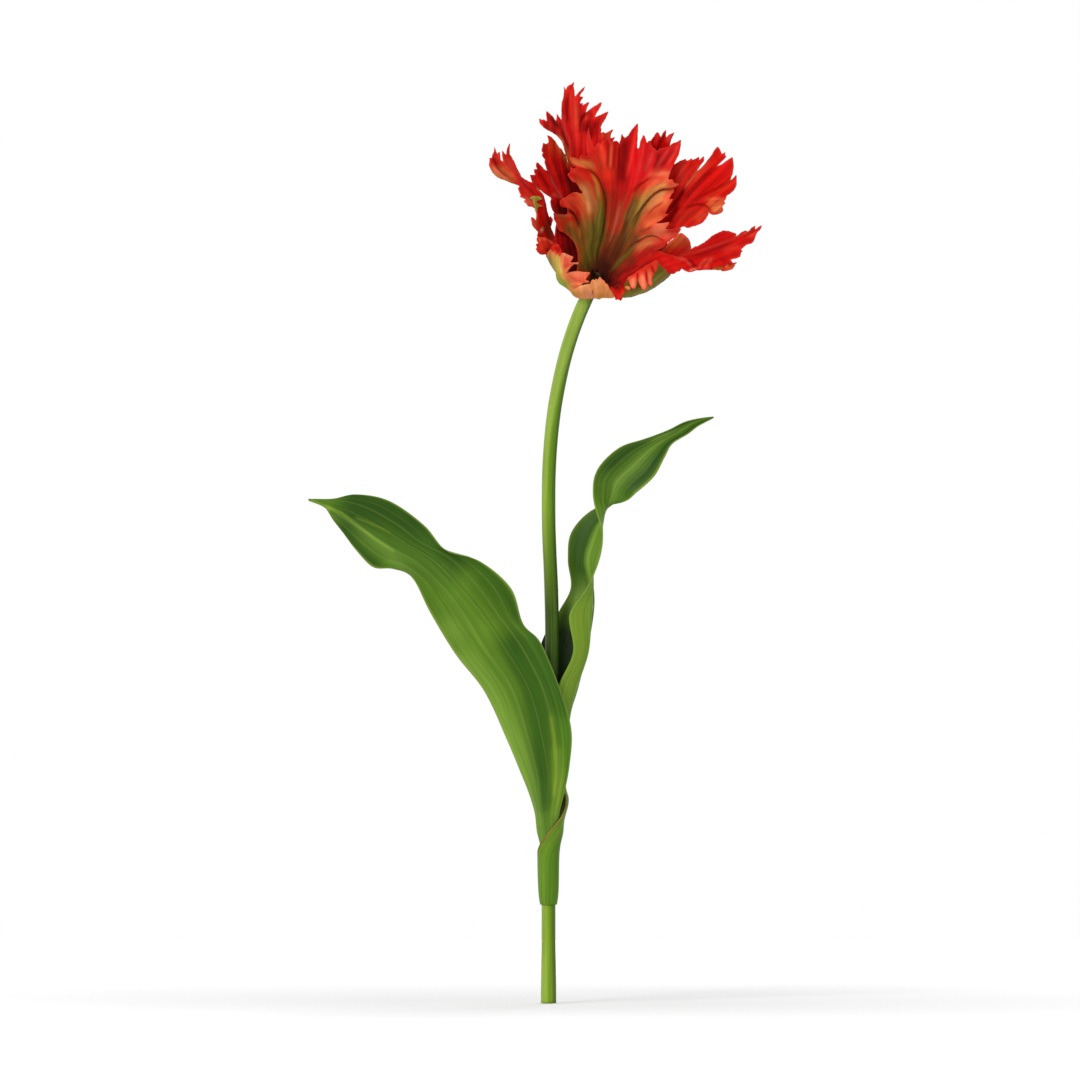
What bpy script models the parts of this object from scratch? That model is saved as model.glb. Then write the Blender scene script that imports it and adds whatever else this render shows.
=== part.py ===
"""Artificial parrot tulip: a wired plastic stem, two wired leaves and an open, fringed flower.

Lengths are millimetres, turned into metres by MM. X runs right, Z runs up and Y runs away
from the side that the open flower faces. The origin is the centre of the stem's cut end.
"""

import math

import bmesh
import bpy
import numpy as np
from mathutils import Vector
from mathutils.geometry import delaunay_2d_cdt

MM = 0.001

# Stem
CUT_RADIUS = 5.2
STEM_RADIUS = 4.6
TAPER_LENGTH = 60.0
STRAIGHT_LENGTH = 330.0
CURVE_LENGTH = 150.0
SIDE_LEAN = 24.5
FRONT_LEAN = 20.0
LEAN_GROWTH = 1.4
STEM_BOW = 2.3
BOW_GROWTH = 2.5

# Core wire
WIRE_RADIUS = 1.2
WIRE_CLEARANCE = 0.3
WIRE_RECESS = 0.6
WIRE_INSERT = 4.0

# Where the stem bends, measured along it
STEM_BEND_AT = 300.0
NECK_BEND_AT = 400.0
BEND_ZONE_LENGTH = 12.0

# What is glued or pressed together keeps this gap
SEAT_GAP = 0.3

# Leaves
LEAF_THICKNESS = 0.8
LEAF_WIRE_RADIUS = 0.45
LEFT_CLASP_FOOT = 77.0
LEFT_CLASP_TOP = 104.0
SHEATH_FOOT = 66.0
SHEATH_FULL = 75.0
SHEATH_MARGIN_LOW = 96.0
SHEATH_MARGIN_MIDDLE = 114.0
SHEATH_MARGIN_HIGH = 126.0
SHEATH_FLARE_LOW = 0.4
SHEATH_FLARE_MIDDLE = 1.1
SHEATH_FLARE_HIGH = 3.0
SHEATH_FLARE_TOP = 4.6

# Flower
RECEPTACLE_RADIUS = 6.0
RECEPTACLE_SEAT = 3.6
PETAL_THICKNESS = 0.6
CLAW_WIDTH = 2.4
PISTIL_HEIGHT = 8.0
PISTIL_RADIUS = 1.5
STIGMA_RADIUS = 2.3
STAMEN_COUNT = 6
STAMEN_HEIGHT = 9.0
FILAMENT_RADIUS = 0.45
ANTHER_RADIUS = 0.85
STAMEN_LEAN = 14.0

# How finely the curved sheets are divided
PETAL_GRID = 5.2
LEAF_COLUMNS = 8
CLASP_COLUMNS = 18
ROWS_PER_RIB = 2
AXIS_STEPS = 480
STATION_SPACING = 17.0
TURNED_STEPS = 16

BORE_RADIUS = WIRE_RADIUS + WIRE_CLEARANCE
STEM_LENGTH = STRAIGHT_LENGTH + CURVE_LENGTH
SOCKET_DEPTH = WIRE_INSERT + WIRE_CLEARANCE

GREEN_STEM = (0.24, 0.37, 0.07)
GREEN_LEAF = (0.12, 0.24, 0.03)
GREEN_SHEATH = (0.16, 0.29, 0.03)
RED = (0.62, 0.03, 0.02)
DARK_RED = (0.40, 0.01, 0.01)
PEACH = (0.74, 0.30, 0.14)
OLIVE = (0.30, 0.26, 0.05)
THROAT = (0.05, 0.004, 0.004)
STEEL = (0.45, 0.45, 0.47)


def clear_scene():
    """Removes whatever the file holds at the start."""
    for thing in list(bpy.data.objects):
        bpy.data.objects.remove(thing)


def new_collection(name):
    """A collection in the scene."""
    group = bpy.data.collections.new(name)
    bpy.context.scene.collection.children.link(group)
    return group


def paint(thing, colour, roughness, metallic=0.0):
    """Gives a piece its own material."""
    material = bpy.data.materials.new(thing.name)
    material.use_nodes = True
    shader = material.node_tree.nodes["Principled BSDF"]
    shader.inputs["Base Color"].default_value = (*colour, 1.0)
    shader.inputs["Roughness"].default_value = roughness
    shader.inputs["Metallic"].default_value = metallic
    thing.data.materials.append(material)


def add_object(name, data, group, parent=None, origin=(0.0, 0.0, 0.0)):
    """An object at a place in its parent's frame."""
    thing = bpy.data.objects.new(name, data)
    thing.parent = parent
    thing.location = origin
    group.objects.link(thing)
    return thing


def add_pivot(name, place, group, parent=None):
    """An empty on a joint's axis. Pieces that turn there are its children."""
    pivot = bpy.data.objects.new(name, None)
    pivot.empty_display_size = 0.01
    pivot.parent = parent
    pivot.location = place * MM - (parent.matrix_world.translation if parent else Vector())
    group.objects.link(pivot)
    bpy.context.view_layer.update()
    return pivot


def add_mesh(name, points, faces, group, parent=None):
    """A mesh object from points in millimetres, kept in its parent's frame."""
    shift = parent.matrix_world.translation if parent else Vector()
    mesh = bpy.data.meshes.new(name)
    mesh.from_pydata([Vector(point) * MM - shift for point in points], [], faces)
    mesh.shade_smooth()
    return add_object(name, mesh, group, parent)


def thicken(thing, thickness):
    """Turns an open sheet into a shell, half its thickness to each side."""
    shell = thing.modifiers.new("thickness", "SOLIDIFY")
    shell.thickness = thickness * MM
    shell.offset = 0.0


def stem_axis():
    """The stem's centre line as points in even steps: straight, then leaning more and more."""
    step = STEM_LENGTH / AXIS_STEPS
    spine = [Vector()]
    for number in range(AXIS_STEPS):
        past = max(0.0, (number + 0.5) * step - STRAIGHT_LENGTH) / CURVE_LENGTH
        growth = past**LEAN_GROWTH
        aside = math.sin(math.radians(SIDE_LEAN) * growth)
        ahead = -math.sin(math.radians(FRONT_LEAN) * growth)
        upward = math.sqrt(1.0 - aside**2 - ahead**2)
        spine.append(spine[-1] + Vector((aside, ahead, upward)) * step)
    for number, point in enumerate(spine):
        share = min(1.0, number * step / STRAIGHT_LENGTH)
        point.x += STEM_BOW * math.sin(math.pi * share**BOW_GROWTH) ** 2
    return spine


AXIS = stem_axis()
TIP_DIRECTION = (AXIS[-1] - AXIS[-2]).normalized()


def stem_point(distance):
    """The point this far along the stem's centre line, or straight on past either end."""
    if distance < 0.0:
        return Vector((0.0, 0.0, distance))
    if distance >= STEM_LENGTH:
        return AXIS[-1] + TIP_DIRECTION * (distance - STEM_LENGTH)
    position = distance / STEM_LENGTH * AXIS_STEPS
    first = int(position)
    return AXIS[first].lerp(AXIS[first + 1], position - first)


def stem_radius(distance):
    """The stem is stouter at its cut end."""
    share = min(1.0, distance / TAPER_LENGTH)
    return CUT_RADIUS + (STEM_RADIUS - CUT_RADIUS) * share


def swept_mesh(name, distances, radius_at, sides_setting):
    """A closed rod along the stem's centre line, as a mesh."""
    curve = bpy.data.curves.new(name, "CURVE")
    curve.dimensions = "3D"
    curve.bevel_depth = MM
    curve.bevel_resolution = sides_setting
    curve.use_fill_caps = True
    spline = curve.splines.new("POLY")
    spline.points.add(len(distances) - 1)
    for point, distance in zip(spline.points, distances):
        point.co = (*(stem_point(distance) * MM), 1.0)
        point.radius = radius_at(distance)
    draft = bpy.data.objects.new(name, curve)
    bpy.context.scene.collection.objects.link(draft)
    bpy.context.view_layer.update()
    evaluated = draft.evaluated_get(bpy.context.evaluated_depsgraph_get())
    mesh = bpy.data.meshes.new_from_object(evaluated)
    bpy.data.objects.remove(draft)
    welded = bmesh.new()
    welded.from_mesh(mesh)
    bmesh.ops.remove_doubles(welded, verts=welded.verts, dist=0.01 * MM)
    welded.to_mesh(mesh)
    welded.free()
    mesh.name = name
    mesh.materials.clear()
    mesh.shade_smooth()
    return mesh


def stations(start, end, spacing=STATION_SPACING):
    """Evenly spaced distances from start to end."""
    count = max(2, round((end - start) / spacing) + 1)
    return [start + (end - start) * number / (count - 1) for number in range(count)]


def place_in(thing, parent):
    """Parents a piece drawn in world coordinates without moving it."""
    thing.parent = parent
    thing.data.transform(parent.matrix_world.inverted())


def bore_cutter(group):
    """The rod that cuts the core wire's bore through every stem piece."""
    reach = stations(-SOCKET_DEPTH, STEM_LENGTH + SOCKET_DEPTH)
    mesh = swept_mesh("bore_cutter", reach, lambda distance: BORE_RADIUS, 4)
    cutter = add_object("bore_cutter", mesh, group)
    cutter.hide_render = True
    cutter.display_type = "WIRE"
    return cutter


def stem_piece(name, start, end, cutter, group, parent=None):
    """One length of the stem with the wire's bore through it."""
    mesh = swept_mesh(name, stations(start, end), stem_radius, 6)
    piece = add_object(name, mesh, group)
    if parent:
        place_in(piece, parent)
    bore = piece.modifiers.new("bore", "BOOLEAN")
    bore.operation = "DIFFERENCE"
    bore.object = cutter
    bore.solver = "EXACT"
    paint(piece, GREEN_STEM, 0.5)
    return piece


def stem_pieces(cutter, group, stem_pivot, neck_pivot):
    """Three stiff lengths and the two short zones where the stem is bent."""
    half = BEND_ZONE_LENGTH / 2
    low = STEM_BEND_AT - half, STEM_BEND_AT + half
    high = NECK_BEND_AT - half, NECK_BEND_AT + half
    stem_piece("stem_lower", 0.0, low[0], cutter, group)
    stem_piece("stem_bend_zone", low[0] + SEAT_GAP, low[1] - SEAT_GAP, cutter, group)
    stem_piece("stem_middle", low[1], high[0], cutter, group, stem_pivot)
    stem_piece("neck_bend_zone", high[0] + SEAT_GAP, high[1] - SEAT_GAP, cutter, group, stem_pivot)
    stem_piece("stem_top", high[1], STEM_LENGTH, cutter, group, neck_pivot)


def core_wire(group):
    """The steel wire that holds whatever bend the stem is given."""
    reach = stations(WIRE_RECESS, STEM_LENGTH + SEAT_GAP + WIRE_INSERT)
    mesh = swept_mesh("core_wire", reach, lambda distance: WIRE_RADIUS, 2)
    wire = add_object("core_wire", mesh, group)
    paint(wire, STEEL, 0.35, 1.0)


def turned(name, profile, group, parent, height=0.0, aside=(0.0, 0.0)):
    """A turned piece: its profile, in millimetres from its axis, runs down the outer side."""
    mesh = bpy.data.meshes.new(name)
    points = [(radius * MM, 0.0, height * MM) for radius, height in profile]
    mesh.from_pydata(points, [(k, k + 1) for k in range(len(points) - 1)], [])
    piece = add_object(name, mesh, group, parent, Vector((*aside, height)) * MM)
    screw = piece.modifiers.new("turning", "SCREW")
    screw.steps = TURNED_STEPS
    screw.render_steps = TURNED_STEPS
    screw.use_merge_vertices = True
    screw.merge_threshold = 0.01 * MM
    screw.use_smooth_shade = True
    return piece


def receptacle_heights():
    """Heights of the receptacle's flat foot and flat seat above its centre."""
    foot = -math.sqrt(RECEPTACLE_RADIUS**2 - STEM_RADIUS**2)
    seat = math.sqrt(RECEPTACLE_RADIUS**2 - RECEPTACLE_SEAT**2)
    return foot, seat


def receptacle(group, flower_axis):
    """The round boss that the petals are glued to, with a socket for the core wire."""
    foot, seat = receptacle_heights()
    first = math.acos(seat / RECEPTACLE_RADIUS)
    last = math.acos(foot / RECEPTACLE_RADIUS)
    angles = [first + (last - first) * step / 8 for step in range(9)]
    profile = [(0.0, seat)]
    profile += [(RECEPTACLE_RADIUS * math.sin(a), RECEPTACLE_RADIUS * math.cos(a)) for a in angles]
    profile += [(BORE_RADIUS, foot), (BORE_RADIUS, foot + SOCKET_DEPTH), (0.0, foot + SOCKET_DEPTH)]
    paint(turned("receptacle", profile, group, flower_axis), OLIVE, 0.6)


def pistil(group, flower_axis):
    """The three-part seed head in the middle of the flower, drawn as one turned piece."""
    waist = PISTIL_RADIUS * 0.8
    profile = [
        (0.0, PISTIL_HEIGHT),
        (STIGMA_RADIUS * 0.7, PISTIL_HEIGHT * 0.99),
        (STIGMA_RADIUS, PISTIL_HEIGHT * 0.9),
        (STIGMA_RADIUS * 0.8, PISTIL_HEIGHT * 0.8),
        (waist, PISTIL_HEIGHT * 0.72),
        (PISTIL_RADIUS, PISTIL_HEIGHT * 0.4),
        (PISTIL_RADIUS * 0.9, 0.0),
        (0.0, 0.0),
    ]
    height = receptacle_heights()[1] + SEAT_GAP
    paint(turned("pistil", profile, group, flower_axis, height), OLIVE, 0.6)


def stamens(group, flower_axis):
    """Dark stamens in a ring on the receptacle's seat."""
    profile = [
        (0.0, STAMEN_HEIGHT),
        (ANTHER_RADIUS * 0.7, STAMEN_HEIGHT * 0.97),
        (ANTHER_RADIUS, STAMEN_HEIGHT * 0.82),
        (ANTHER_RADIUS, STAMEN_HEIGHT * 0.6),
        (FILAMENT_RADIUS, STAMEN_HEIGHT * 0.5),
        (FILAMENT_RADIUS, 0.0),
        (0.0, 0.0),
    ]
    ring = (RECEPTACLE_SEAT + PISTIL_RADIUS) / 2
    height = receptacle_heights()[1] + SEAT_GAP + FILAMENT_RADIUS * math.sin(math.radians(STAMEN_LEAN))
    for number in range(STAMEN_COUNT):
        turn = math.tau * number / STAMEN_COUNT
        aside = (ring * math.cos(turn), ring * math.sin(turn))
        stamen = turned(f"stamen_{number + 1}", profile, group, flower_axis, height, aside)
        stamen.rotation_euler = (0.0, math.radians(STAMEN_LEAN), turn)
        paint(stamen, THROAT, 0.6)


def flat_fill(outline, spacing):
    """Fills a flat outline with triangles about spacing apart: (points, faces)."""
    rim = []
    for here, there in zip(outline, outline[1:] + outline[:1]):
        here, there = Vector(here), Vector(there)
        pieces = max(1, round((there - here).length / spacing))
        rim += [here.lerp(there, k / pieces) for k in range(pieces)]
    corners = np.array([tuple(point) for point in rim])
    nexts = np.roll(corners, -1, axis=0)
    low, high = corners.min(axis=0), corners.max(axis=0)
    inner = []
    rows = int((high[1] - low[1]) / (spacing * 0.866)) + 1
    columns = int((high[0] - low[0]) / spacing) + 2
    for row in range(rows):
        for column in range(columns):
            spot = low + spacing * np.array((column - 0.5 * (row % 2), 0.866 * row))
            if is_inside(spot, corners, nexts) and rim_distance(spot, corners, nexts) > 0.55 * spacing:
                inner.append(Vector(spot))
    edges = [(k, (k + 1) % len(rim)) for k in range(len(rim))]
    points, _, faces, _, _, _ = delaunay_2d_cdt(rim + inner, edges, [], 1, 1e-5)
    return points, faces


def is_inside(spot, starts, ends):
    """True where a level ray from spot crosses the outline an odd number of times."""
    crosses = (starts[:, 1] > spot[1]) != (ends[:, 1] > spot[1])
    rise = np.where(crosses, ends[:, 1] - starts[:, 1], 1.0)
    reach = starts[:, 0] + (spot[1] - starts[:, 1]) / rise * (ends[:, 0] - starts[:, 0])
    return np.count_nonzero(crosses & (spot[0] < reach)) % 2 == 1


def rim_distance(spot, starts, ends):
    """Distance from spot to the nearest side of the outline."""
    sides = ends - starts
    share = ((spot - starts) * sides).sum(axis=1) / np.maximum((sides**2).sum(axis=1), 1e-9)
    nearest = starts + np.clip(share, 0.0, 1.0)[:, None] * sides
    return np.sqrt(((spot - nearest) ** 2).sum(axis=1)).min()


def kernel(gap_squared):
    """The thin-plate weight of a squared distance."""
    return gap_squared * np.log(gap_squared + 1e-9)


def depth_field(anchors):
    """A smooth depth over (across, up) that passes through anchors of (across, up, depth)."""
    marks = np.array(anchors, float)
    flat = marks[:, :2]
    count = len(marks)
    system = np.zeros((count + 3, count + 3))
    system[:count, :count] = kernel(((flat[:, None] - flat[None]) ** 2).sum(axis=2))
    system[:count, count] = 1.0
    system[:count, count + 1 :] = flat
    system[count:, :count] = system[:count, count:].T
    weights = np.linalg.solve(system, np.append(marks[:, 2], (0.0, 0.0, 0.0)))

    def depth(point):
        pull = kernel(((flat - np.array(point)) ** 2).sum(axis=1))
        return pull @ weights[:count] + weights[count] + weights[count + 1 :] @ np.array(point)

    return depth


def claw_seat(azimuth, height):
    """Where a petal's claw meets the receptacle. Azimuth 0 is the back, 90 the right side."""
    reach = RECEPTACLE_RADIUS + SEAT_GAP + PETAL_THICKNESS / 2
    ring = math.sqrt(reach**2 - height**2)
    turn = math.radians(azimuth)
    return Vector((ring * math.sin(turn), ring * math.cos(turn), height))


def facing_petal(name, azimuth, height, outline, anchors, colour, group, centre, parent):
    """A petal drawn as seen from the front, in millimetres from the receptacle's centre.

    The outline starts beside the claw and runs round to its other side, left side first. The
    anchors give the petal's depth behind the receptacle's centre.
    """
    seat = claw_seat(azimuth, height)
    turn = math.radians(azimuth)
    side = Vector((math.cos(turn), -math.sin(turn))) * CLAW_WIDTH / 2
    ends = [Vector((seat.x, seat.z)) - side, Vector((seat.x, seat.z)) + side]
    marks = [(end.x, end.y, seat.y) for end in ends] + anchors
    depth = depth_field(marks)
    points, faces = flat_fill([tuple(ends[0]), *outline, tuple(ends[1])], PETAL_GRID)
    placed = [centre + Vector((point.x, depth(point), point.y)) for point in points]
    petal = add_mesh(name, placed, faces, group, parent)
    thicken(petal, PETAL_THICKNESS)
    paint(petal, colour, 0.6)


def free_rib(left, middle, right):
    """A rib bowed through three points."""
    left, middle, right = Vector(left), Vector(middle), Vector(right)

    def point(across):
        low = across * (across - 1) / 2
        high = across * (across + 1) / 2
        return left * low + middle * (1 - across**2) + right * high

    return point


def arc_rib(height, radius, start, end):
    """A rib wrapped round the stem, from one angle to another. Angle 0 is the right, -90 the front."""
    centre = stem_point(height)

    def point(across):
        turn = math.radians(start + (end - start) * (across + 1) / 2)
        return centre + Vector((math.cos(turn), math.sin(turn), 0.0)) * radius

    return point


def loft(ribs):
    """A surface through ribs. Across runs -1 to 1 on each rib, along is counted in ribs."""

    def place(across, along):
        first = min(max(int(along), 0), len(ribs) - 2)
        near = [ribs[min(max(first + k, 0), len(ribs) - 1)](across) for k in (-1, 0, 1, 2)]
        t = along - first
        bend_in = (near[2] - near[0]) / 2
        bend_out = (near[3] - near[1]) / 2
        rise = near[2] - near[1]
        square = 3 * rise - 2 * bend_in - bend_out
        cube = bend_in + bend_out - 2 * rise
        return near[1] + t * (bend_in + t * (square + t * cube))

    return place


def lying_petal(name, azimuth, height, outline, length, half_width, ribs, colour, group, centre, parent):
    """A petal that reaches towards the viewer, cut flat and laid over ribs.

    The outline is the flat cut, in millimetres across and along. The ribs are points from the
    receptacle's centre, at even steps along the petal after its claw.
    """
    seat = claw_seat(azimuth, height)
    turn = math.radians(azimuth)
    side = Vector((-math.cos(turn), math.sin(turn), 0.0)) * CLAW_WIDTH
    claw = free_rib(seat - side, seat, seat + side)
    place = loft([claw] + [free_rib(*rib) for rib in ribs])
    half_claw = CLAW_WIDTH / 2
    points, faces = flat_fill([(-half_claw, 0.0), *outline, (half_claw, 0.0)], PETAL_GRID)
    placed = [centre + place(point.x / half_width, point.y / length * len(ribs)) for point in points]
    petal = add_mesh(name, placed, [face[::-1] for face in faces], group, parent)
    thicken(petal, PETAL_THICKNESS)
    paint(petal, colour, 0.6)


def back_petals(*home):
    """The big petal that faces the viewer and the two that stand behind it."""
    facing_petal(
        "petal_back_centre", 0.0, 1.0,
        [(-3, 6), (-9, 15), (-15, 31), (-27, 48), (-10, 51), (-20, 58), (-7, 66), (-15, 77), (-12, 86),
         (-14, 89), (-6, 90), (-2, 108), (1, 96), (5, 100), (19, 99), (21, 104), (26, 100), (31, 111),
         (31, 95), (35, 103), (38, 98), (60, 100), (56, 84), (52, 74), (59, 70), (53, 61), (44, 44),
         (60, 40), (51, 31), (42, 23), (30, 17), (14, 12), (4, 6)],
        [(0, 8, 12), (2, 30, 24), (4, 60, 28), (20, 95, 24), (31, 110, 20), (-25, 49, 14), (-12, 80, 21),
         (-9, 15, 10), (58, 98, 14), (52, 70, 12), (57, 37, 6), (42, 23, 7), (14, 12, 13)],
        RED, *home,
    )
    facing_petal(
        "petal_back_right", 22.0, -1.6,
        [(2, 4), (6, 20), (18, 60), (36, 96), (45, 106), (47, 103), (50, 107), (51, 102), (56, 105),
         (54, 94), (40, 60), (26, 30), (10, 5)],
        [(5, 6, 19), (22, 45, 37), (8, 30, 31), (38, 60, 29), (45, 90, 33), (54, 95, 27), (50, 107, 26)],
        RED, *home,
    )
    facing_petal(
        "petal_back_left", -22.0, -1.6,
        [(-8, 6), (-18, 30), (-22, 60), (-15, 83), (-19, 99), (-33, 110), (-35, 115), (-29, 113),
         (-29, 119), (-23, 113), (-19, 125), (-18, 136), (-12, 139), (-10, 129), (-4, 136), (-7, 125),
         (-1, 126), (-3, 119), (7, 126), (2, 116), (12, 119), (7, 109), (15, 107), (14, 96), (4, 60),
         (1, 30), (-1, 4)],
        [(-4, 6, 19), (-9, 40, 37), (-21, 45, 28), (-6, 85, 40), (-16, 88, 34), (-8, 115, 35),
         (-12, 138, 23), (-34, 114, 21), (14, 105, 33)],
        RED, *home,
    )


def left_petals(*home):
    """The dark inner petal and the twisted outer petal on the left."""
    facing_petal(
        "petal_left_inner", -58.0, 1.5,
        [(-11, 2), (-20, 10), (-26, 24), (-28, 38), (-26, 51), (-32, 66), (-38, 71), (-41, 76), (-36, 85),
         (-29, 80), (-31, 88), (-33, 92), (-29, 103), (-23, 99), (-14, 83), (-8, 83), (-4, 66), (-5, 50),
         (-8, 30), (-9, 14), (-8, 7)],
        [(-17, 9, 10), (-9, 16, 15), (-9, 30, 25), (-26, 30, 10), (-26, 45, 14), (-6, 55, 33),
         (-8, 83, 32), (-39, 74, 10), (-29, 102, 16)],
        DARK_RED, *home,
    )
    facing_petal(
        "petal_left_outer", -98.0, 1.0,
        [(-12, -1), (-24, 9), (-33, 22), (-37, 29), (-36, 36), (-40, 47), (-38, 54), (-44, 56), (-49, 67),
         (-58, 72), (-68, 82), (-68, 87), (-64, 94), (-62, 90), (-59, 92), (-60, 85), (-55, 97),
         (-50, 82), (-47, 75), (-39, 71), (-32, 65), (-30, 57), (-26, 41), (-20, 28), (-13, 12), (-9, 4)],
        [(-17, 3, -2), (-13, 9, 2), (-33, 21, -7), (-21, 28, 3), (-39, 46, -18), (-27, 43, 2),
         (-45, 59, -16), (-32, 64, 2), (-52, 78, -8), (-67, 84, -20), (-55, 96, -8)],
        RED, *home,
    )


def right_petals(*home):
    """The upper fan and the long lower petal on the right."""
    facing_petal(
        "petal_right_upper", 60.0, 0.0,
        [(8, 2), (16, 7), (28, 13), (36, 22), (44, 38), (48, 56), (54, 76), (60, 80), (64, 87), (76, 88),
         (71, 78), (85, 95), (90, 91), (85, 82), (94, 88), (93, 72), (97, 76), (91, 62), (84, 50),
         (78, 51), (75, 44), (66, 41), (60, 38), (66, 29), (59, 21), (44, 12), (28, 4), (14, -2)],
        [(20, 6, 12), (38, 20, 18), (50, 42, 19), (56, 74, 20), (64, 86, 18), (86, 92, 4), (96, 74, -6),
         (80, 60, 12), (82, 51, -2), (63, 28, 2)],
        RED, *home,
    )
    facing_petal(
        "petal_right_lower", 98.0, -1.0,
        [(9, 2), (20, 7), (34, 16), (44, 23), (50, 23), (67, 26), (88, 39), (97, 36), (103, 38),
         (110, 42), (114, 42), (107, 29), (93, 19), (97, 17), (93, 12), (74, 13), (68, 11), (60, 13),
         (50, 9), (38, 5), (24, 0), (12, -4)],
        [(20, 3, -2), (44, 21, 0), (40, 7, -8), (66, 25, -2), (68, 12, -18), (88, 37, -2), (93, 14, -26),
         (113, 41, -16)],
        RED, *home,
    )


def front_petals(*home):
    """The three short petals that open towards the viewer and show their outer faces."""
    lying_petal(
        "petal_front_left", -145.0, -3.8,
        [(-7, 4), (-13, 12), (-16, 22), (-15, 31), (-12, 35), (-9, 32), (-6, 37), (-3, 33), (0, 38),
         (3, 33), (6, 37), (8, 32), (12, 35), (14, 28), (15, 20), (12, 12), (6, 4)],
        36.0, 16.0,
        [[(-17, -8, 1), (-11, -12, -3), (-4, -12, -4)],
         [(-27, -11, 11), (-18, -21, 3), (-3, -24, -4)],
         [(-31, -13, 23), (-20, -29, 18), (-2, -35, 8)]],
        PEACH, *home,
    )
    lying_petal(
        "petal_front_centre", 180.0, -5.4,
        [(-5, 6), (-7, 18), (-7, 30), (-5, 34), (-2, 32), (1, 36), (4, 31), (8, 33), (10, 28), (9, 16),
         (5, 6)],
        34.0, 10.0,
        [[(-2, -14, -5.5), (5, -15, -6), (11, -14, -5.5)],
         [(-1, -27, -5), (8, -29, -6.5), (18, -26, -6)],
         [(-1, -37, 5), (9, -40, 5), (22, -37, 0)]],
        PEACH, *home,
    )
    lying_petal(
        "petal_front_right", 145.0, -3.8,
        [(-6, 4), (-12, 12), (-15, 22), (-15, 31), (-12, 36), (-9, 32), (-5, 37), (-2, 33), (2, 38),
         (5, 33), (9, 36), (12, 31), (15, 33), (16, 22), (13, 12), (7, 4)],
        36.0, 16.0,
        [[(6, -12, -3.5), (16, -13, -4.5), (26, -10, -2)],
         [(11, -23, -3.5), (31, -23, -4), (46, -14, 3)],
         [(20, -33, 3), (39, -31, 10), (52, -18, 18)]],
        OLIVE, *home,
    )


def split_gap(ribs, at):
    """Half the gap between two pieces of a leaf cut at this place, counted in ribs."""
    here, there = ribs[int(at)](0.0), ribs[int(at) + 1](0.0)
    return SEAT_GAP / 2 / (there - here).length


def leaf_piece(name, ribs, start, end, columns, colour, group, parent=None):
    """The part of a leaf between two places along it, counted in ribs."""
    place = loft(ribs)
    rows = max(2, round((end - start) * ROWS_PER_RIB))
    points = []
    for row in range(rows + 1):
        along = start + (end - start) * row / rows
        for column in range(columns + 1):
            points.append(place(2.0 * column / columns - 1.0, along))
    faces = []
    width = columns + 1
    for row in range(rows):
        for column in range(columns):
            corner = row * width + column
            faces.append((corner, corner + 1, corner + width + 1, corner + width))
    piece = add_mesh(name, points, faces, group, parent)
    thicken(piece, LEAF_THICKNESS)
    paint(piece, colour, 0.45)


def leaf_wire(name, ribs, start, end, side, group, parent):
    """The thin wire glued along the back of a leaf's middle line. Side 1 or -1 picks the face."""
    place = loft(ribs)
    reach = LEAF_THICKNESS / 2 + SEAT_GAP + LEAF_WIRE_RADIUS
    shift = parent.matrix_world.translation
    steps = round((end - start) * ROWS_PER_RIB)
    curve = bpy.data.curves.new(name, "CURVE")
    curve.dimensions = "3D"
    curve.bevel_depth = LEAF_WIRE_RADIUS * MM
    curve.bevel_resolution = 1
    curve.use_fill_caps = True
    spline = curve.splines.new("POLY")
    spline.points.add(steps)
    for number, point in enumerate(spline.points):
        along = start + (end - start) * number / steps
        across_way = place(0.05, along) - place(-0.05, along)
        along_way = place(0.0, along + 0.05) - place(0.0, along - 0.05)
        out = across_way.cross(along_way).normalized() * side
        point.co = (*((place(0.0, along) + out * reach) * MM - shift), 1.0)
    wire = add_object(name, curve, group, parent)
    paint(wire, STEEL, 0.4, 1.0)


def leaf(name, foot_name, ribs, cuts, wire, side, foot_colour, group):
    """A leaf in three pieces, its foot, its bend zone and its blade, with the wire behind them.

    The cuts and the wire's ends are counted in ribs. The blade and the wire turn on a pivot in
    the middle of the bend zone.
    """
    low, high = cuts
    low_gap, high_gap = split_gap(ribs, low), split_gap(ribs, high)
    pivot = add_pivot(f"{name}_pivot", loft(ribs)(0.0, (low + high) / 2), group)
    tip = len(ribs) - 1.0
    leaf_piece(f"{name}_{foot_name}", ribs, 0.0, low - low_gap, CLASP_COLUMNS, foot_colour, group)
    leaf_piece(f"{name}_bend_zone", ribs, low + low_gap, high - high_gap, LEAF_COLUMNS, GREEN_LEAF, group)
    leaf_piece(f"{name}_blade", ribs, high + high_gap, tip, LEAF_COLUMNS, GREEN_LEAF, group, pivot)
    leaf_wire(f"{name}_wire", ribs, *wire, side, group, pivot)


def clasp_radius():
    """The middle of the left leaf's clasp, which lies on the stem."""
    return STEM_RADIUS + SEAT_GAP + LEAF_THICKNESS / 2


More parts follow.
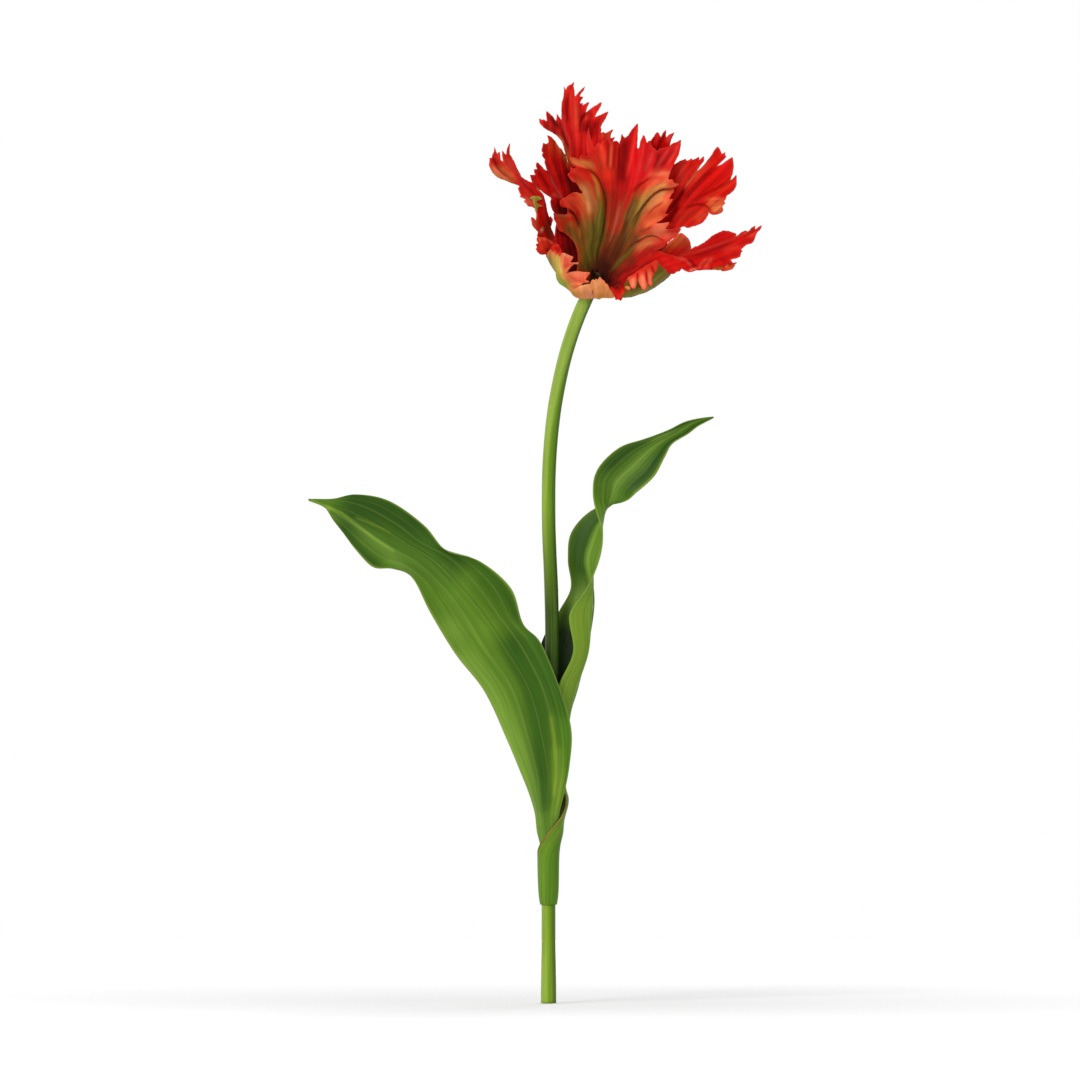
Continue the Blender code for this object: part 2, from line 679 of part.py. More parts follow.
def left_leaf_ribs():
    """The left leaf from its clasp round the stem's front to its tip, facing the viewer."""
    hug = clasp_radius()
    return [
        arc_rib(LEFT_CLASP_FOOT, hug, -160, -20),
        arc_rib((LEFT_CLASP_FOOT + LEFT_CLASP_TOP) / 2, hug, -165, -20),
        arc_rib(LEFT_CLASP_TOP, hug, -165, -20),
        free_rib((-7.5, -1, 115), (-0.5, -7, 116), (6, -4.5, 115)),
        free_rib((-9, 0, 127), (-1, -8.5, 128), (7, -6.5, 127)),
        free_rib((-13, 1, 141), (-1, -10, 142), (11, -8, 143)),
        free_rib((-18, 2, 154), (-1, -11, 155), (14, -9.5, 160)),
        free_rib((-28, 1, 177), (-5, -14, 179), (15, -11, 183)),
        free_rib((-43, -2, 209), (-14, -17, 211), (8, -13, 209)),
        free_rib((-62, -10, 234), (-30, -20, 238), (-5, -15, 241)),
        free_rib((-79, -20, 262), (-46, -26, 262), (-17, -18, 254)),
        free_rib((-91, -32, 285), (-62, -30, 281), (-25, -28, 278)),
        free_rib((-104, -40, 291), (-78, -35, 297), (-46, -30, 296)),
        free_rib((-117, -44, 292), (-96, -40, 308), (-68, -36, 303)),
        free_rib((-128, -44, 303), (-113, -45, 319), (-83, -40, 320)),
        free_rib((-137, -46, 315), (-128, -49, 327), (-106, -44, 336)),
        free_rib((-143, -49, 323), (-139, -51, 332), (-128, -47, 340.5)),
        free_rib((-149, -51, 332), (-148, -52, 334.5), (-144, -50, 337.5)),
        free_rib((-160, -54, 336.4), (-160, -54, 337), (-160, -54, 337.6)),
    ]


def right_leaf_ribs():
    """The right leaf: a sheath round stem and left leaf, then a blade that twists outwards."""
    hug = clasp_radius()
    wrap = hug + LEAF_THICKNESS + SEAT_GAP
    half_way = (SHEATH_MARGIN_LOW + SHEATH_MARGIN_MIDDLE) / 2
    return [
        arc_rib(SHEATH_FOOT, hug, -195, 145),
        arc_rib(SHEATH_FULL, wrap, -195, 142),
        arc_rib(SHEATH_MARGIN_LOW, wrap + SHEATH_FLARE_LOW, -184, 136),
        arc_rib(half_way, wrap + SHEATH_FLARE_MIDDLE, -145, 130),
        arc_rib(SHEATH_MARGIN_MIDDLE, wrap + SHEATH_FLARE_HIGH, -92, 122),
        arc_rib(SHEATH_MARGIN_HIGH, wrap + SHEATH_FLARE_TOP, -36, 113),
        free_rib((11.5, -6, 136), (11.5, 3, 136), (-2.5, 9, 136)),
        free_rib((9, -4.5, 146), (10, 4, 146), (-3, 9.5, 146)),
        free_rib((8.5, -5, 165), (11, 4.5, 165), (-3, 10, 165)),
        free_rib((8.5, -5, 193), (13.5, 5, 193), (-3.5, 10, 193)),
        free_rib((6.5, -6, 211), (18.5, 5, 211), (-3.5, 11, 215)),
        free_rib((16.5, -3, 235), (25, 6, 236), (-5, 12, 240)),
        free_rib((14, -1, 260), (29, 8, 262), (7, 15, 262)),
        free_rib((25, 2, 277), (29, 12, 278), (15, 19, 278)),
        free_rib((34, 8, 297), (26, 16, 297), (13, 22, 297)),
        free_rib((36, 8, 315), (33, 20, 314), (17, 26, 317)),
        free_rib((34, 10, 328), (40, 20, 328), (26, 27, 327)),
        free_rib((30, 14, 341), (41, 23, 337), (50, 23, 333)),
        free_rib((31, 16, 353), (44, 22, 350), (59, 18, 342)),
        free_rib((37, 20, 363), (54, 25, 360), (71, 18, 353)),
        free_rib((49, 26, 373), (64, 28, 369), (78, 20, 366)),
        free_rib((64, 30, 378), (74, 30, 376), (83, 26, 375)),
        free_rib((80, 31, 384), (87, 32, 383), (94, 29, 382)),
        free_rib((93, 33, 390), (97, 34, 389), (101, 32, 387)),
        free_rib((111, 36, 393.2), (111, 36, 392.8), (111, 36, 392.2)),
    ]


def build():
    """Builds the whole flower."""
    clear_scene()
    group = new_collection("artificial_parrot_tulip")
    cutters = new_collection("cutters")
    stem_pivot = add_pivot("stem_bend_pivot", stem_point(STEM_BEND_AT), group)
    neck_pivot = add_pivot("neck_bend_pivot", stem_point(NECK_BEND_AT), group, stem_pivot)
    cutter = bore_cutter(cutters)
    stem_pieces(cutter, group, stem_pivot, neck_pivot)
    core_wire(group)

    foot = receptacle_heights()[0]
    centre = stem_point(STEM_LENGTH) + TIP_DIRECTION * (SEAT_GAP - foot)
    flower_axis = add_pivot("flower_axis", centre, group, neck_pivot)
    flower_axis.rotation_euler = TIP_DIRECTION.to_track_quat("Z", "Y").to_euler()
    receptacle(group, flower_axis)
    pistil(group, flower_axis)
    stamens(group, flower_axis)
    home = (group, centre, neck_pivot)
    back_petals(*home)
    left_petals(*home)
    right_petals(*home)
    front_petals(*home)

    leaf("left_leaf", "clasp", left_leaf_ribs(), (4.2, 5.2), (4.1, 14.0), -1, GREEN_LEAF, group)
    leaf("right_leaf", "sheath", right_leaf_ribs(), (7.2, 8.0), (7.1, 15.5), 1, GREEN_SHEATH, group)


build()
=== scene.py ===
import math

import bmesh
import bpy
import numpy as np
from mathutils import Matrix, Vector, noise
from mathutils.geometry import delaunay_2d_cdt


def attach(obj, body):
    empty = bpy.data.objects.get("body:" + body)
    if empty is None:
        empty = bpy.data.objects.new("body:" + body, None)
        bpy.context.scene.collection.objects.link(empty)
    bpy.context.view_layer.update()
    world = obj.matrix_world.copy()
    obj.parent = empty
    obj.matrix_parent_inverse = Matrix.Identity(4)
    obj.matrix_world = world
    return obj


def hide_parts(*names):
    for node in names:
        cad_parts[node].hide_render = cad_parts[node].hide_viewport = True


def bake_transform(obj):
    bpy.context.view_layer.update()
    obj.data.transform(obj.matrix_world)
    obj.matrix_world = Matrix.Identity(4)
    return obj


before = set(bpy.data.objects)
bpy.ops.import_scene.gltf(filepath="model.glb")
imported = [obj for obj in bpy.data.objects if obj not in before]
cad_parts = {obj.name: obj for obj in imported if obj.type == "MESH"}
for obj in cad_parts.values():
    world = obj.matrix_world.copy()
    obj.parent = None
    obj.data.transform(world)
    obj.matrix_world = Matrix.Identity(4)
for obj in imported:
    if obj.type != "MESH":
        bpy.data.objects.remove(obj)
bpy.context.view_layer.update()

# ---------------------------------------------------------------------------
# Studio: a pale floor, a pale surround and three large soft lamps.
# The camera stands level, far away in front of the open flower.

MM = 0.001


def put(tree, kind, inputs=None, **settings):
    """Adds a node. An input is a value, or the output socket that feeds it."""
    made = tree.nodes.new(kind)
    for name, value in settings.items():
        setattr(made, name, value)
    for name, value in (inputs or {}).items():
        if isinstance(value, bpy.types.NodeSocket):
            tree.links.new(value, made.inputs[name])
        else:
            made.inputs[name].default_value = value
    return made


def ranged(tree, value, low, high, to_low=0.0, to_high=1.0):
    """Maps a value from one span onto another, held at both ends."""
    spans = {"From Min": low, "From Max": high, "To Min": to_low, "To Max": to_high}
    return put(tree, "ShaderNodeMapRange", {"Value": value, **spans}).outputs["Result"]


def new_material(name, **constants):
    """A material with its Principled shader's constants set: (material, node tree, shader)."""
    made = bpy.data.materials.new(name)
    made.use_nodes = True
    shader = made.node_tree.nodes["Principled BSDF"]
    for socket, value in constants.items():
        shader.inputs[socket.replace("_", " ")].default_value = value
    return made, made.node_tree, shader


def seen_directly(tree):
    """1 for what the camera or a reflection shows directly, 0 for what lights the object."""
    path = put(tree, "ShaderNodeLightPath").outputs
    first = put(tree, "ShaderNodeMath", {0: path["Is Camera Ray"], 1: path["Is Glossy Ray"]},
                operation="MAXIMUM")
    both = {0: first.outputs[0], 1: path["Is Transmission Ray"]}
    return put(tree, "ShaderNodeMath", both, operation="MAXIMUM").outputs[0]


bpy.context.scene.view_settings.view_transform = "Standard"
surround = bpy.data.worlds.new("pale_surround")
bpy.context.scene.world = surround
surround.use_nodes = True
sky = surround.node_tree
backdrop = sky.nodes["Background"]
white_seen = ranged(sky, seen_directly(sky), 0.0, 1.0, 0.45, 1.0)
sky.links.new(white_seen, backdrop.inputs["Strength"])
backdrop.inputs["Color"].default_value = (1.0, 1.0, 1.0, 1.0)

floor_material, tree, shader = new_material("pale_floor", Roughness=0.9)
shader.inputs["Specular IOR Level"].default_value = 0.1
shader.inputs["Base Color"].default_value = (0.86, 0.86, 0.86, 1.0)
spot = put(tree, "ShaderNodeTexCoord").outputs["Object"]
away = put(tree, "ShaderNodeVectorMath", {0: spot}, operation="LENGTH").outputs["Value"]
brightening = {0: seen_directly(tree), 1: ranged(tree, away, 0.1, 1.2, 0.1, 0.6)}
glow = put(tree, "ShaderNodeMath", brightening, operation="MULTIPLY").outputs[0]
glow_colour = put(tree, "ShaderNodeCombineXYZ", {"X": glow, "Y": glow, "Z": glow})
tree.links.new(glow_colour.outputs[0], shader.inputs["Emission Color"])
shader.inputs["Emission Strength"].default_value = 1.0

floor_mesh = bpy.data.meshes.new("studio_floor")
FLOOR_REACH, FLOOR_DROP = 1.6, 0.0003
floor_corners = [(-1, -1), (1, -1), (1, 1), (-1, 1)]
floor_mesh.from_pydata(
    [(x * FLOOR_REACH, y * FLOOR_REACH, -FLOOR_DROP) for x, y in floor_corners], [], [(0, 1, 2, 3)])
floor = bpy.data.objects.new("studio_floor", floor_mesh)
floor.data.materials.append(floor_material)
bpy.context.scene.collection.objects.link(floor)


def soft_lamp(name, place, target, size, share):
    """A square lamp that lights a facing surface at its target to this share of white."""
    lamp = bpy.data.lights.new(name, "AREA")
    lamp.shape = "SQUARE"
    lamp.size = size
    gap = Vector(target) - Vector(place)
    lamp.energy = share * math.pi**2 * gap.length_squared
    holder = bpy.data.objects.new(name, lamp)
    holder.location = place
    holder.rotation_euler = gap.to_track_quat("-Z", "Y").to_euler()
    bpy.context.scene.collection.objects.link(holder)


FLOWER_HEIGHT = 0.42
soft_lamp("key_lamp", (-1.0, -1.5, 1.35), (0.0, 0.0, FLOWER_HEIGHT), 0.9, 0.60)
soft_lamp("fill_lamp", (1.5, -1.1, 0.75), (0.0, 0.0, FLOWER_HEIGHT), 1.1, 0.10)
soft_lamp("back_lamp", (0.7, 1.6, 1.3), (0.0, 0.0, FLOWER_HEIGHT), 1.0, 0.30)

camera_data = bpy.data.cameras.new("front_camera")
camera_data.lens = 497.5
camera_data.sensor_width = 36.0
camera_data.clip_start = 0.5
camera_data.clip_end = 60.0
camera = bpy.data.objects.new("front_camera", camera_data)
CAMERA_ASIDE, CAMERA_GAP, CAMERA_HEIGHT = -5.7 * MM, 10.0, 310.2 * MM
camera.location = (CAMERA_ASIDE, -CAMERA_GAP, CAMERA_HEIGHT)
camera.rotation_euler = (math.pi / 2, 0.0, 0.0)
bpy.context.scene.collection.objects.link(camera)
bpy.context.scene.camera = camera

# ---------------------------------------------------------------------------
# Core wire: a bare steel rod, 2.4 mm thick, cut off square. It runs up the middle
# of the stem and into the flower's receptacle, and holds whatever bend it is given.

STRAIGHT_LENGTH, CURVE_LENGTH = 330.0, 150.0
STEM_LENGTH = STRAIGHT_LENGTH + CURVE_LENGTH
AXIS_STEPS = 480
LEAN_ASIDE, LEAN_AHEAD, LEAN_GROWTH = 24.5, 20.0, 1.4
SWAY, SWAY_PLACE = 2.3, 2.5
WIRE_RADIUS = 1.2
WIRE_RECESS = 0.6
WIRE_SPLIT = 350.0
WIRE_REACH = 4.3
WIRE_SPACING = 4.0


def stem_axis():
    """The stem's centre line in even steps: straight, then leaning more and more."""
    step = STEM_LENGTH / AXIS_STEPS
    spine = [Vector()]
    for number in range(AXIS_STEPS):
        growth = (max(0.0, (number + 0.5) * step - STRAIGHT_LENGTH) / CURVE_LENGTH) ** LEAN_GROWTH
        aside = math.sin(math.radians(LEAN_ASIDE) * growth)
        ahead = -math.sin(math.radians(LEAN_AHEAD) * growth)
        spine.append(spine[-1] + Vector((aside, ahead,
                                         math.sqrt(1.0 - aside**2 - ahead**2))) * step)
    for number, point in enumerate(spine):
        share = min(1.0, number * step / STRAIGHT_LENGTH)
        point.x += SWAY * math.sin(math.pi * share**SWAY_PLACE) ** 2
    return spine


AXIS = stem_axis()
TIP_DIRECTION = (AXIS[-1] - AXIS[-2]).normalized()


def stem_point(distance):
    """The point this far along the stem's centre line, or straight on past its top."""
    if distance >= STEM_LENGTH:
        return AXIS[-1] + TIP_DIRECTION * (distance - STEM_LENGTH)
    position = distance / STEM_LENGTH * AXIS_STEPS
    first = int(position)
    return AXIS[first].lerp(AXIS[first + 1], position - first)


def path_mesh(name, points):
    """An open path as a mesh of edges, from points in millimetres."""
    mesh = bpy.data.meshes.new(name)
    mesh.from_pydata([Vector(point) * MM for point in points],
                     [(k, k + 1) for k in range(len(points) - 1)], [])
    return mesh


def stem_path(name, start, end, spacing):
    """A path along the stem's centre line."""
    count = round((end - start) / spacing)
    return path_mesh(name,
                     [stem_point(start + (end - start) * k / count) for k in range(count + 1)])


def rod_along_path():
    """Node tree: a round rod along a path, tapering at its foot, with each point's place on it."""
    tree = bpy.data.node_groups.new("rod_along_path", "GeometryNodeTree")
    sockets = tree.interface
    sockets.new_socket("Path", in_out="INPUT", socket_type="NodeSocketGeometry")
    for name, kind in (
        ("Foot Radius", "Float"), ("Radius", "Float"), ("Taper Length", "Float"),
        ("Sides", "Int"), ("Closed Ends", "Bool"), ("Material", "Material"),
    ):
        sockets.new_socket(name, in_out="INPUT", socket_type="NodeSocket" + kind)
    sockets.new_socket("Rod", in_out="OUTPUT", socket_type="NodeSocketGeometry")
    given = put(tree, "NodeGroupInput").outputs
    line = put(tree, "GeometryNodeMeshToCurve", {"Mesh": given["Path"]})
    travelled = put(tree, "GeometryNodeSplineParameter").outputs["Length"]
    marked = tree.nodes.new("GeometryNodeCaptureAttribute")
    marked.capture_items.new("FLOAT", "Along")
    tree.links.new(line.outputs[0], marked.inputs[0])
    tree.links.new(travelled, marked.inputs[1])
    ring = put(tree, "GeometryNodeCurvePrimitiveCircle",
               {"Resolution": given["Sides"], "Radius": 1.0})
    ringed = tree.nodes.new("GeometryNodeCaptureAttribute")
    ringed.capture_items.new("VECTOR", "Round")
    tree.links.new(ring.outputs["Curve"], ringed.inputs[0])
    tree.links.new(put(tree, "GeometryNodeInputPosition").outputs[0], ringed.inputs[1])
    spans = {
        "Value": travelled, "From Min": 0.0, "From Max": given["Taper Length"],
        "To Min": given["Foot Radius"], "To Max": given["Radius"],
    }
    radius = put(tree, "ShaderNodeMapRange", spans).outputs["Result"]
    swept = put(tree, "GeometryNodeCurveToMesh", {
        "Curve": marked.outputs[0], "Profile Curve": ringed.outputs[0],
        "Scale": radius, "Fill Caps": given["Closed Ends"],
    })
    flat = put(tree, "ShaderNodeSeparateXYZ", {0: ringed.outputs[1]})
    thick = [
        put(tree, "ShaderNodeMath", {0: flat.outputs[k], 1: given["Radius"]},
            operation="MULTIPLY").outputs[0]
        for k in (0, 1)
    ]
    place = put(tree, "ShaderNodeCombineXYZ",
                {"X": thick[0], "Y": thick[1], "Z": marked.outputs[1]})
    stored = put(tree, "GeometryNodeStoreNamedAttribute",
                 {"Geometry": swept.outputs[0], "Name": "on_rod"},
                 data_type="FLOAT_VECTOR", domain="POINT")
    tree.links.new(place.outputs[0], stored.inputs["Value"])
    smooth = put(tree, "GeometryNodeSetShadeSmooth", {"Geometry": stored.outputs[0]})
    real = put(tree, "GeometryNodeRealizeInstances", {"Geometry": smooth.outputs[0]})
    coated = put(tree, "GeometryNodeSetMaterial",
                 {"Geometry": real.outputs[0], "Material": given["Material"]})
    tree.links.new(coated.outputs[0], put(tree, "NodeGroupOutput").inputs[0])
    return tree


def formed(name, mesh, tree, **values):
    """Runs a node tree on a mesh and keeps the result as a plain mesh object."""
    piece = bpy.data.objects.new(name, mesh)
    bpy.context.scene.collection.objects.link(piece)
    shape = piece.modifiers.new("shape", "NODES")
    shape.node_group = tree
    for item in tree.interface.items_tree:
        key = item.name.replace(" ", "_").lower()
        if item.in_out == "INPUT" and key in values:
            shape[item.identifier] = values[key]
    bpy.context.view_layer.update()
    final = piece.evaluated_get(bpy.context.evaluated_depsgraph_get())
    done = bpy.data.meshes.new_from_object(final)
    piece.modifiers.remove(shape)
    piece.data = done
    return piece


def mixed(tree, share, low, high, blend="MIX"):
    """A colour mix: low where share is 0, high where it is 1."""
    made = put(tree, "ShaderNodeMix", {0: share, 6: low, 7: high}, data_type="RGBA",
               blend_type=blend)
    return made.outputs[2]


ROD = rod_along_path()

steel, tree, shader = new_material("drawn_steel", Metallic=1.0)
rod_place = put(tree, "ShaderNodeAttribute", attribute_name="on_rod").outputs["Vector"]
drawn = put(tree, "ShaderNodeMapping", {"Vector": rod_place, "Scale": (9000.0, 9000.0, 120.0)})
scratches = put(tree, "ShaderNodeTexNoise",
                {"Vector": drawn.outputs[0], "Scale": 1.0, "Detail": 4.0})
tarnish = put(tree, "ShaderNodeTexNoise", {"Vector": rod_place, "Scale": 260.0, "Detail": 3.0})
worn = ranged(tree, tarnish.outputs["Fac"], 0.45, 0.68)
tree.links.new(mixed(tree, worn, (0.42, 0.42, 0.44, 1.0), (0.22, 0.19, 0.17, 1.0)),
               shader.inputs["Base Color"])
tree.links.new(ranged(tree, scratches.outputs["Fac"], 0.3, 0.7, 0.28, 0.5),
               shader.inputs["Roughness"])
grooves = put(tree, "ShaderNodeBump",
              {"Strength": 0.35, "Distance": 0.00005, "Height": scratches.outputs["Fac"]})
tree.links.new(grooves.outputs[0], shader.inputs["Normal"])

wire_values = dict(foot_radius=WIRE_RADIUS * MM, radius=WIRE_RADIUS * MM, taper_length=0.01,
                   sides=16, closed_ends=True, material=steel)
wire_lower = formed(
    "core_wire_lower", stem_path("core_wire_lower", WIRE_RECESS, WIRE_SPLIT, WIRE_SPACING),
    ROD, **wire_values)
wire_upper = formed(
    "core_wire_upper",
    stem_path("core_wire_upper", WIRE_SPLIT, STEM_LENGTH + WIRE_REACH, WIRE_SPACING),
    ROD, **wire_values)
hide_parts("core_wire")
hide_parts("core_wire")
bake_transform(wire_lower)
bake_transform(wire_upper)

# ---------------------------------------------------------------------------
# Stem: soft green plastic moulded over the core wire, 10.4 mm thick at the square-cut foot and
# 9.2 mm above. Faint ridges run along it, and its light green has darker streaks and specks. Its
# colour also carries painted shade down its right side and where the leaves wrap it, and a painted
# highlight down its left side.

CUT_RADIUS, STEM_RADIUS, TAPER_LENGTH = 5.2, 4.6, 60.0
BORE_RADIUS, BORE_DEPTH = 1.5, 25.0
CUT_ROUNDING, BORE_ROUNDING = 0.25, 0.15
SWELLING, RIDGE_HEIGHT = 0.16, 0.07
SKIN_SPACING = 2.0


def linear(colour):
    """A colour read as 0 to 255 on screen, as the linear values that shading works in."""
    parts = np.array(colour, float) / 255.0
    return np.where(parts <= 0.04045, parts / 12.92, ((parts + 0.055) / 1.055) ** 2.4)


def rgba(colour):
    """The same, with full opacity, for a node's colour socket."""
    return (*linear(colour), 1.0)


def streak_group():
    """Shader group: streaks, fine veins and small mottling along a surface's own coordinates."""
    group = bpy.data.node_groups.new("plant_streaks", "ShaderNodeTree")
    sockets = group.interface
    sockets.new_socket("Coordinates", in_out="INPUT", socket_type="NodeSocketVector")
    for name in ("Streak Scale", "Vein Scale", "Mottle Scale"):
        sockets.new_socket(name, in_out="INPUT", socket_type="NodeSocketFloat")
    for name in ("Streaks", "Veins", "Mottle"):
        sockets.new_socket(name, in_out="OUTPUT", socket_type="NodeSocketFloat")
    given = put(group, "NodeGroupInput").outputs
    results = put(group, "NodeGroupOutput").inputs
    spot = given["Coordinates"]
    for name, squeeze, scale, detail in (
        ("Streaks", (1.0, 1.0, 0.045), "Streak Scale", 4.0),
        ("Veins", (1.0, 1.0, 0.012), "Vein Scale", 2.0),
        ("Mottle", (1.0, 1.0, 1.0), "Mottle Scale", 3.0),
    ):
        drawn_out = put(group, "ShaderNodeMapping", {"Vector": spot, "Scale": squeeze})
        texture = put(group, "ShaderNodeTexNoise", {
            "Vector": drawn_out.outputs[0], "Scale": given[scale], "Detail": detail,
            "Roughness": 0.6,
        })
        group.links.new(ranged(group, texture.outputs["Fac"], 0.28, 0.72), results[name])
    return group


STREAKS = streak_group()


def streaks_on(tree, coordinates, streak, vein, mottle):
    """The streak group in a material, with its scales: its outputs."""
    given = {"Coordinates": coordinates, "Streak Scale": streak, "Vein Scale": vein,
             "Mottle Scale": mottle}
    placed = put(tree, "ShaderNodeGroup", node_tree=STREAKS)
    for name, value in given.items():
        if isinstance(value, bpy.types.NodeSocket):
            tree.links.new(value, placed.inputs[name])
        else:
            placed.inputs[name].default_value = value
    return placed.outputs


def stem_material(name, start):
    """The stem's plastic. Start is how far up the stem the piece begins, in metres."""
    made, tree, shader = new_material(name)
    shader.inputs["Specular IOR Level"].default_value = 0.14
    raw = put(tree, "ShaderNodeAttribute", attribute_name="on_rod").outputs["Vector"]
    spot = put(tree, "ShaderNodeMapping", {"Vector": raw, "Location": (0.0, 0.0, start)}).outputs[0]
    marks = streaks_on(tree, spot, 420.0, 1500.0, 210.0)
    height = put(tree, "ShaderNodeSeparateXYZ", {0: spot}).outputs["Z"]
    lower = mixed(tree, ranged(tree, height, 0.0, 0.07), rgba((142, 176, 40)), rgba((124, 160, 26)))
    upper = mixed(tree, ranged(tree, height, 0.24, 0.40), lower, rgba((108, 148, 22)))
    neck = mixed(tree, ranged(tree, height, 0.43, 0.48), upper, rgba((120, 154, 26)))
    # Painted light by side: painted shade down the stem's right side, a painted highlight down its
    # left side.
    side = put(tree, "ShaderNodeAttribute", attribute_name="side").outputs["Fac"]
    neck = mixed(tree, ranged(tree, side, 0.5, 0.92, 0.0, 0.9), neck, rgba((56, 88, 6)))
    neck = mixed(tree, ranged(tree, side, 0.45, 0.25, 0.0, 0.5), neck, rgba((178, 200, 96)))
    # Painted shade where the leaves wrap the stem: darkest from 0.13 m to 0.26 m up, gone by 0.33
    # m.
    shade_under_leaves = mixed(tree, ranged(tree, height, 0.33, 0.262, 0.0, 0.93), neck, rgba((28, 50, 6)))
    neck = mixed(tree, ranged(tree, height, 0.11, 0.13), neck, shade_under_leaves)
    streaked = mixed(tree, ranged(tree, marks["Streaks"], 0.2, 0.9, 0.0, 0.4), neck,
                     rgba((76, 112, 12)))
    veined = mixed(tree, ranged(tree, marks["Veins"], 0.55, 1.0, 0.0, 0.16), streaked,
                   rgba((166, 194, 96)))
    specks = mixed(tree, ranged(tree, marks["Mottle"], 0.86, 1.0, 0.0, 0.45), veined,
                   rgba((92, 118, 34)))
    tree.links.new(specks, shader.inputs["Base Color"])
    tree.links.new(ranged(tree, marks["Mottle"], 0.0, 1.0, 0.34, 0.52), shader.inputs["Roughness"])
    relief = put(tree, "ShaderNodeMath", {0: marks["Veins"], 1: marks["Streaks"]},
                 operation="ADD").outputs[0]
    bump = put(tree, "ShaderNodeBump", {"Strength": 0.5, "Distance": 0.0002, "Height": relief})
    tree.links.new(bump.outputs[0], shader.inputs["Normal"])
    return made


def roughen(piece):
    """Swellings and ridges in the moulded skin, drawn out along it. Keeps each point's side, 0 on
    the left and 1 on the right, for the stem's painted shade and painted highlight.
    """
    sides = []
    for vertex in piece.data.vertices:
        height = vertex.co.z / MM
        middle = stem_point(min(STEM_LENGTH,
                                max(0.0, height * (1.0 if height < 335 else 1.03)))) * MM
        out = vertex.co - Vector((middle.x, middle.y, vertex.co.z))
        out.z = 0.0
        swell = noise.noise(Vector((out.x * 420.0, out.y * 420.0, height * 0.035)))
        ridge = noise.noise(Vector((out.x * 1100.0, out.y * 1100.0, height * 0.008 + 7.0)))
        vertex.co += out.normalized() * (swell * SWELLING + ridge * RIDGE_HEIGHT) * MM
        sides.append(0.5 + 0.5 * out.normalized().x)
    piece.data.attributes.new("side", "FLOAT", "POINT").data.foreach_set("value", sides)


def open_foot(piece):
    """Closes the foot with the square-cut face and the bore that the core wire stands in."""
    work = bmesh.new()
    work.from_mesh(piece.data)
    rim = [edge for edge in work.edges
           if edge.is_boundary and all(vertex.co.z < 1.0 * MM for vertex in edge.verts)]
    for radius, height in (
        (CUT_RADIUS - CUT_ROUNDING, 0.0), (BORE_RADIUS + BORE_ROUNDING, 0.0),
        (BORE_RADIUS, 0.2), (BORE_RADIUS, BORE_DEPTH),
    ):
        made = bmesh.ops.extrude_edge_only(work, edges=rim)["geom"]
        for vertex in (item for item in made if isinstance(item, bmesh.types.BMVert)):
            flat = Vector((vertex.co.x, vertex.co.y, 0.0)).normalized() * radius
            vertex.co = Vector((flat.x, flat.y, height)) * MM
        rim = [item for item in made if isinstance(item, bmesh.types.BMEdge) and item.is_boundary]
    work.to_mesh(piece.data)
    work.free()
    piece.data.shade_smooth()


def outward(piece, merge=0.00001):
    """Joins doubled points and turns the faces outwards."""
    work = bmesh.new()
    work.from_mesh(piece.data)
    bmesh.ops.remove_doubles(work, verts=work.verts, dist=merge)
    bmesh.ops.recalc_face_normals(work, faces=work.faces)
    work.to_mesh(piece.data)
    work.free()


skin_values = dict(radius=STEM_RADIUS * MM, sides=40, closed_ends=False)
stem_lower = formed(
    "stem_skin_lower", stem_path("stem_skin_lower", 0.0, WIRE_SPLIT, SKIN_SPACING), ROD,
    foot_radius=CUT_RADIUS * MM, taper_length=TAPER_LENGTH * MM,
    material=stem_material("stem_plastic_lower", 0.0), **skin_values)
stem_upper = formed(
    "stem_skin_upper", stem_path("stem_skin_upper", WIRE_SPLIT, STEM_LENGTH, SKIN_SPACING), ROD,
    foot_radius=STEM_RADIUS * MM, taper_length=TAPER_LENGTH * MM,
    material=stem_material("stem_plastic_upper", WIRE_SPLIT * MM), **skin_values)
roughen(stem_lower)
roughen(stem_upper)
open_foot(stem_lower)
outward(stem_lower)
outward(stem_upper)
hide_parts("stem_lower", "stem_bend_zone", "stem_middle")
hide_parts("neck_bend_zone", "stem_top", "stem_middle")
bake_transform(stem_lower)
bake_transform(stem_upper)

# ---------------------------------------------------------------------------
# Left leaf: printed and coated fabric, 0.8 mm thick, pressed with long parallel veins. Its foot is
# glued round the front of the stem, and the broad blade bends out to the left and faces the viewer.

SEAT_GAP = 0.3
LEAF_THICKNESS = 0.8
LEAF_COLUMNS = 84
ROWS_PER_RIB = 11
CLASP_RADIUS = STEM_RADIUS + SEAT_GAP + LEAF_THICKNESS / 2
LEAF_CAST = (0.98, 1.0, 0.6)


def free_rib(left, middle, right):
    """A rib bowed through three points."""
    left, middle, right = np.array(left, float), np.array(middle, float), np.array(right, float)

    def point(across):
        return (left * across * (across - 1) / 2 + middle * (1 - across**2)
                + right * across * (across + 1) / 2)

    return point


def arc_rib(height, radius, start, end):
    """A rib wrapped round the stem between two angles. Angle 0 is the right, -90 the front."""
    centre = np.array(stem_point(height))

    def point(across):
        turn = math.radians(start + (end - start) * (across + 1) / 2)
        return centre + np.array((math.cos(turn), math.sin(turn), 0.0)) * radius

    return point


def surface(ribs, columns, rows):
    """Points of a smooth surface through ribs, as an array of rows by columns."""
    table = np.array([[rib(2.0 * k / columns - 1.0) for k in range(columns + 1)] for rib in ribs])
    along = np.linspace(0.0, len(ribs) - 1.0, rows + 1)
    first = np.minimum(along.astype(int), len(ribs) - 2)
    t = (along - first)[:, None, None]
    near = [table[np.clip(first + k, 0, len(ribs) - 1)] for k in (-1, 0, 1, 2)]
    bend_in, bend_out = (near[2] - near[0]) / 2, (near[3] - near[1]) / 2
    gain = near[2] - near[1]
    bend = 3 * gain - 2 * bend_in - bend_out + t * (bend_in + bend_out - 2 * gain)
    return near[1] + t * (bend_in + t * bend)


def surface_normals(grid):
    """The direction that each point of a surface faces."""
    across = np.gradient(grid, axis=1)
    along = np.gradient(grid, axis=0)
    normal = np.cross(across, along)
    return normal / np.maximum(np.linalg.norm(normal, axis=2, keepdims=True), 1e-9)


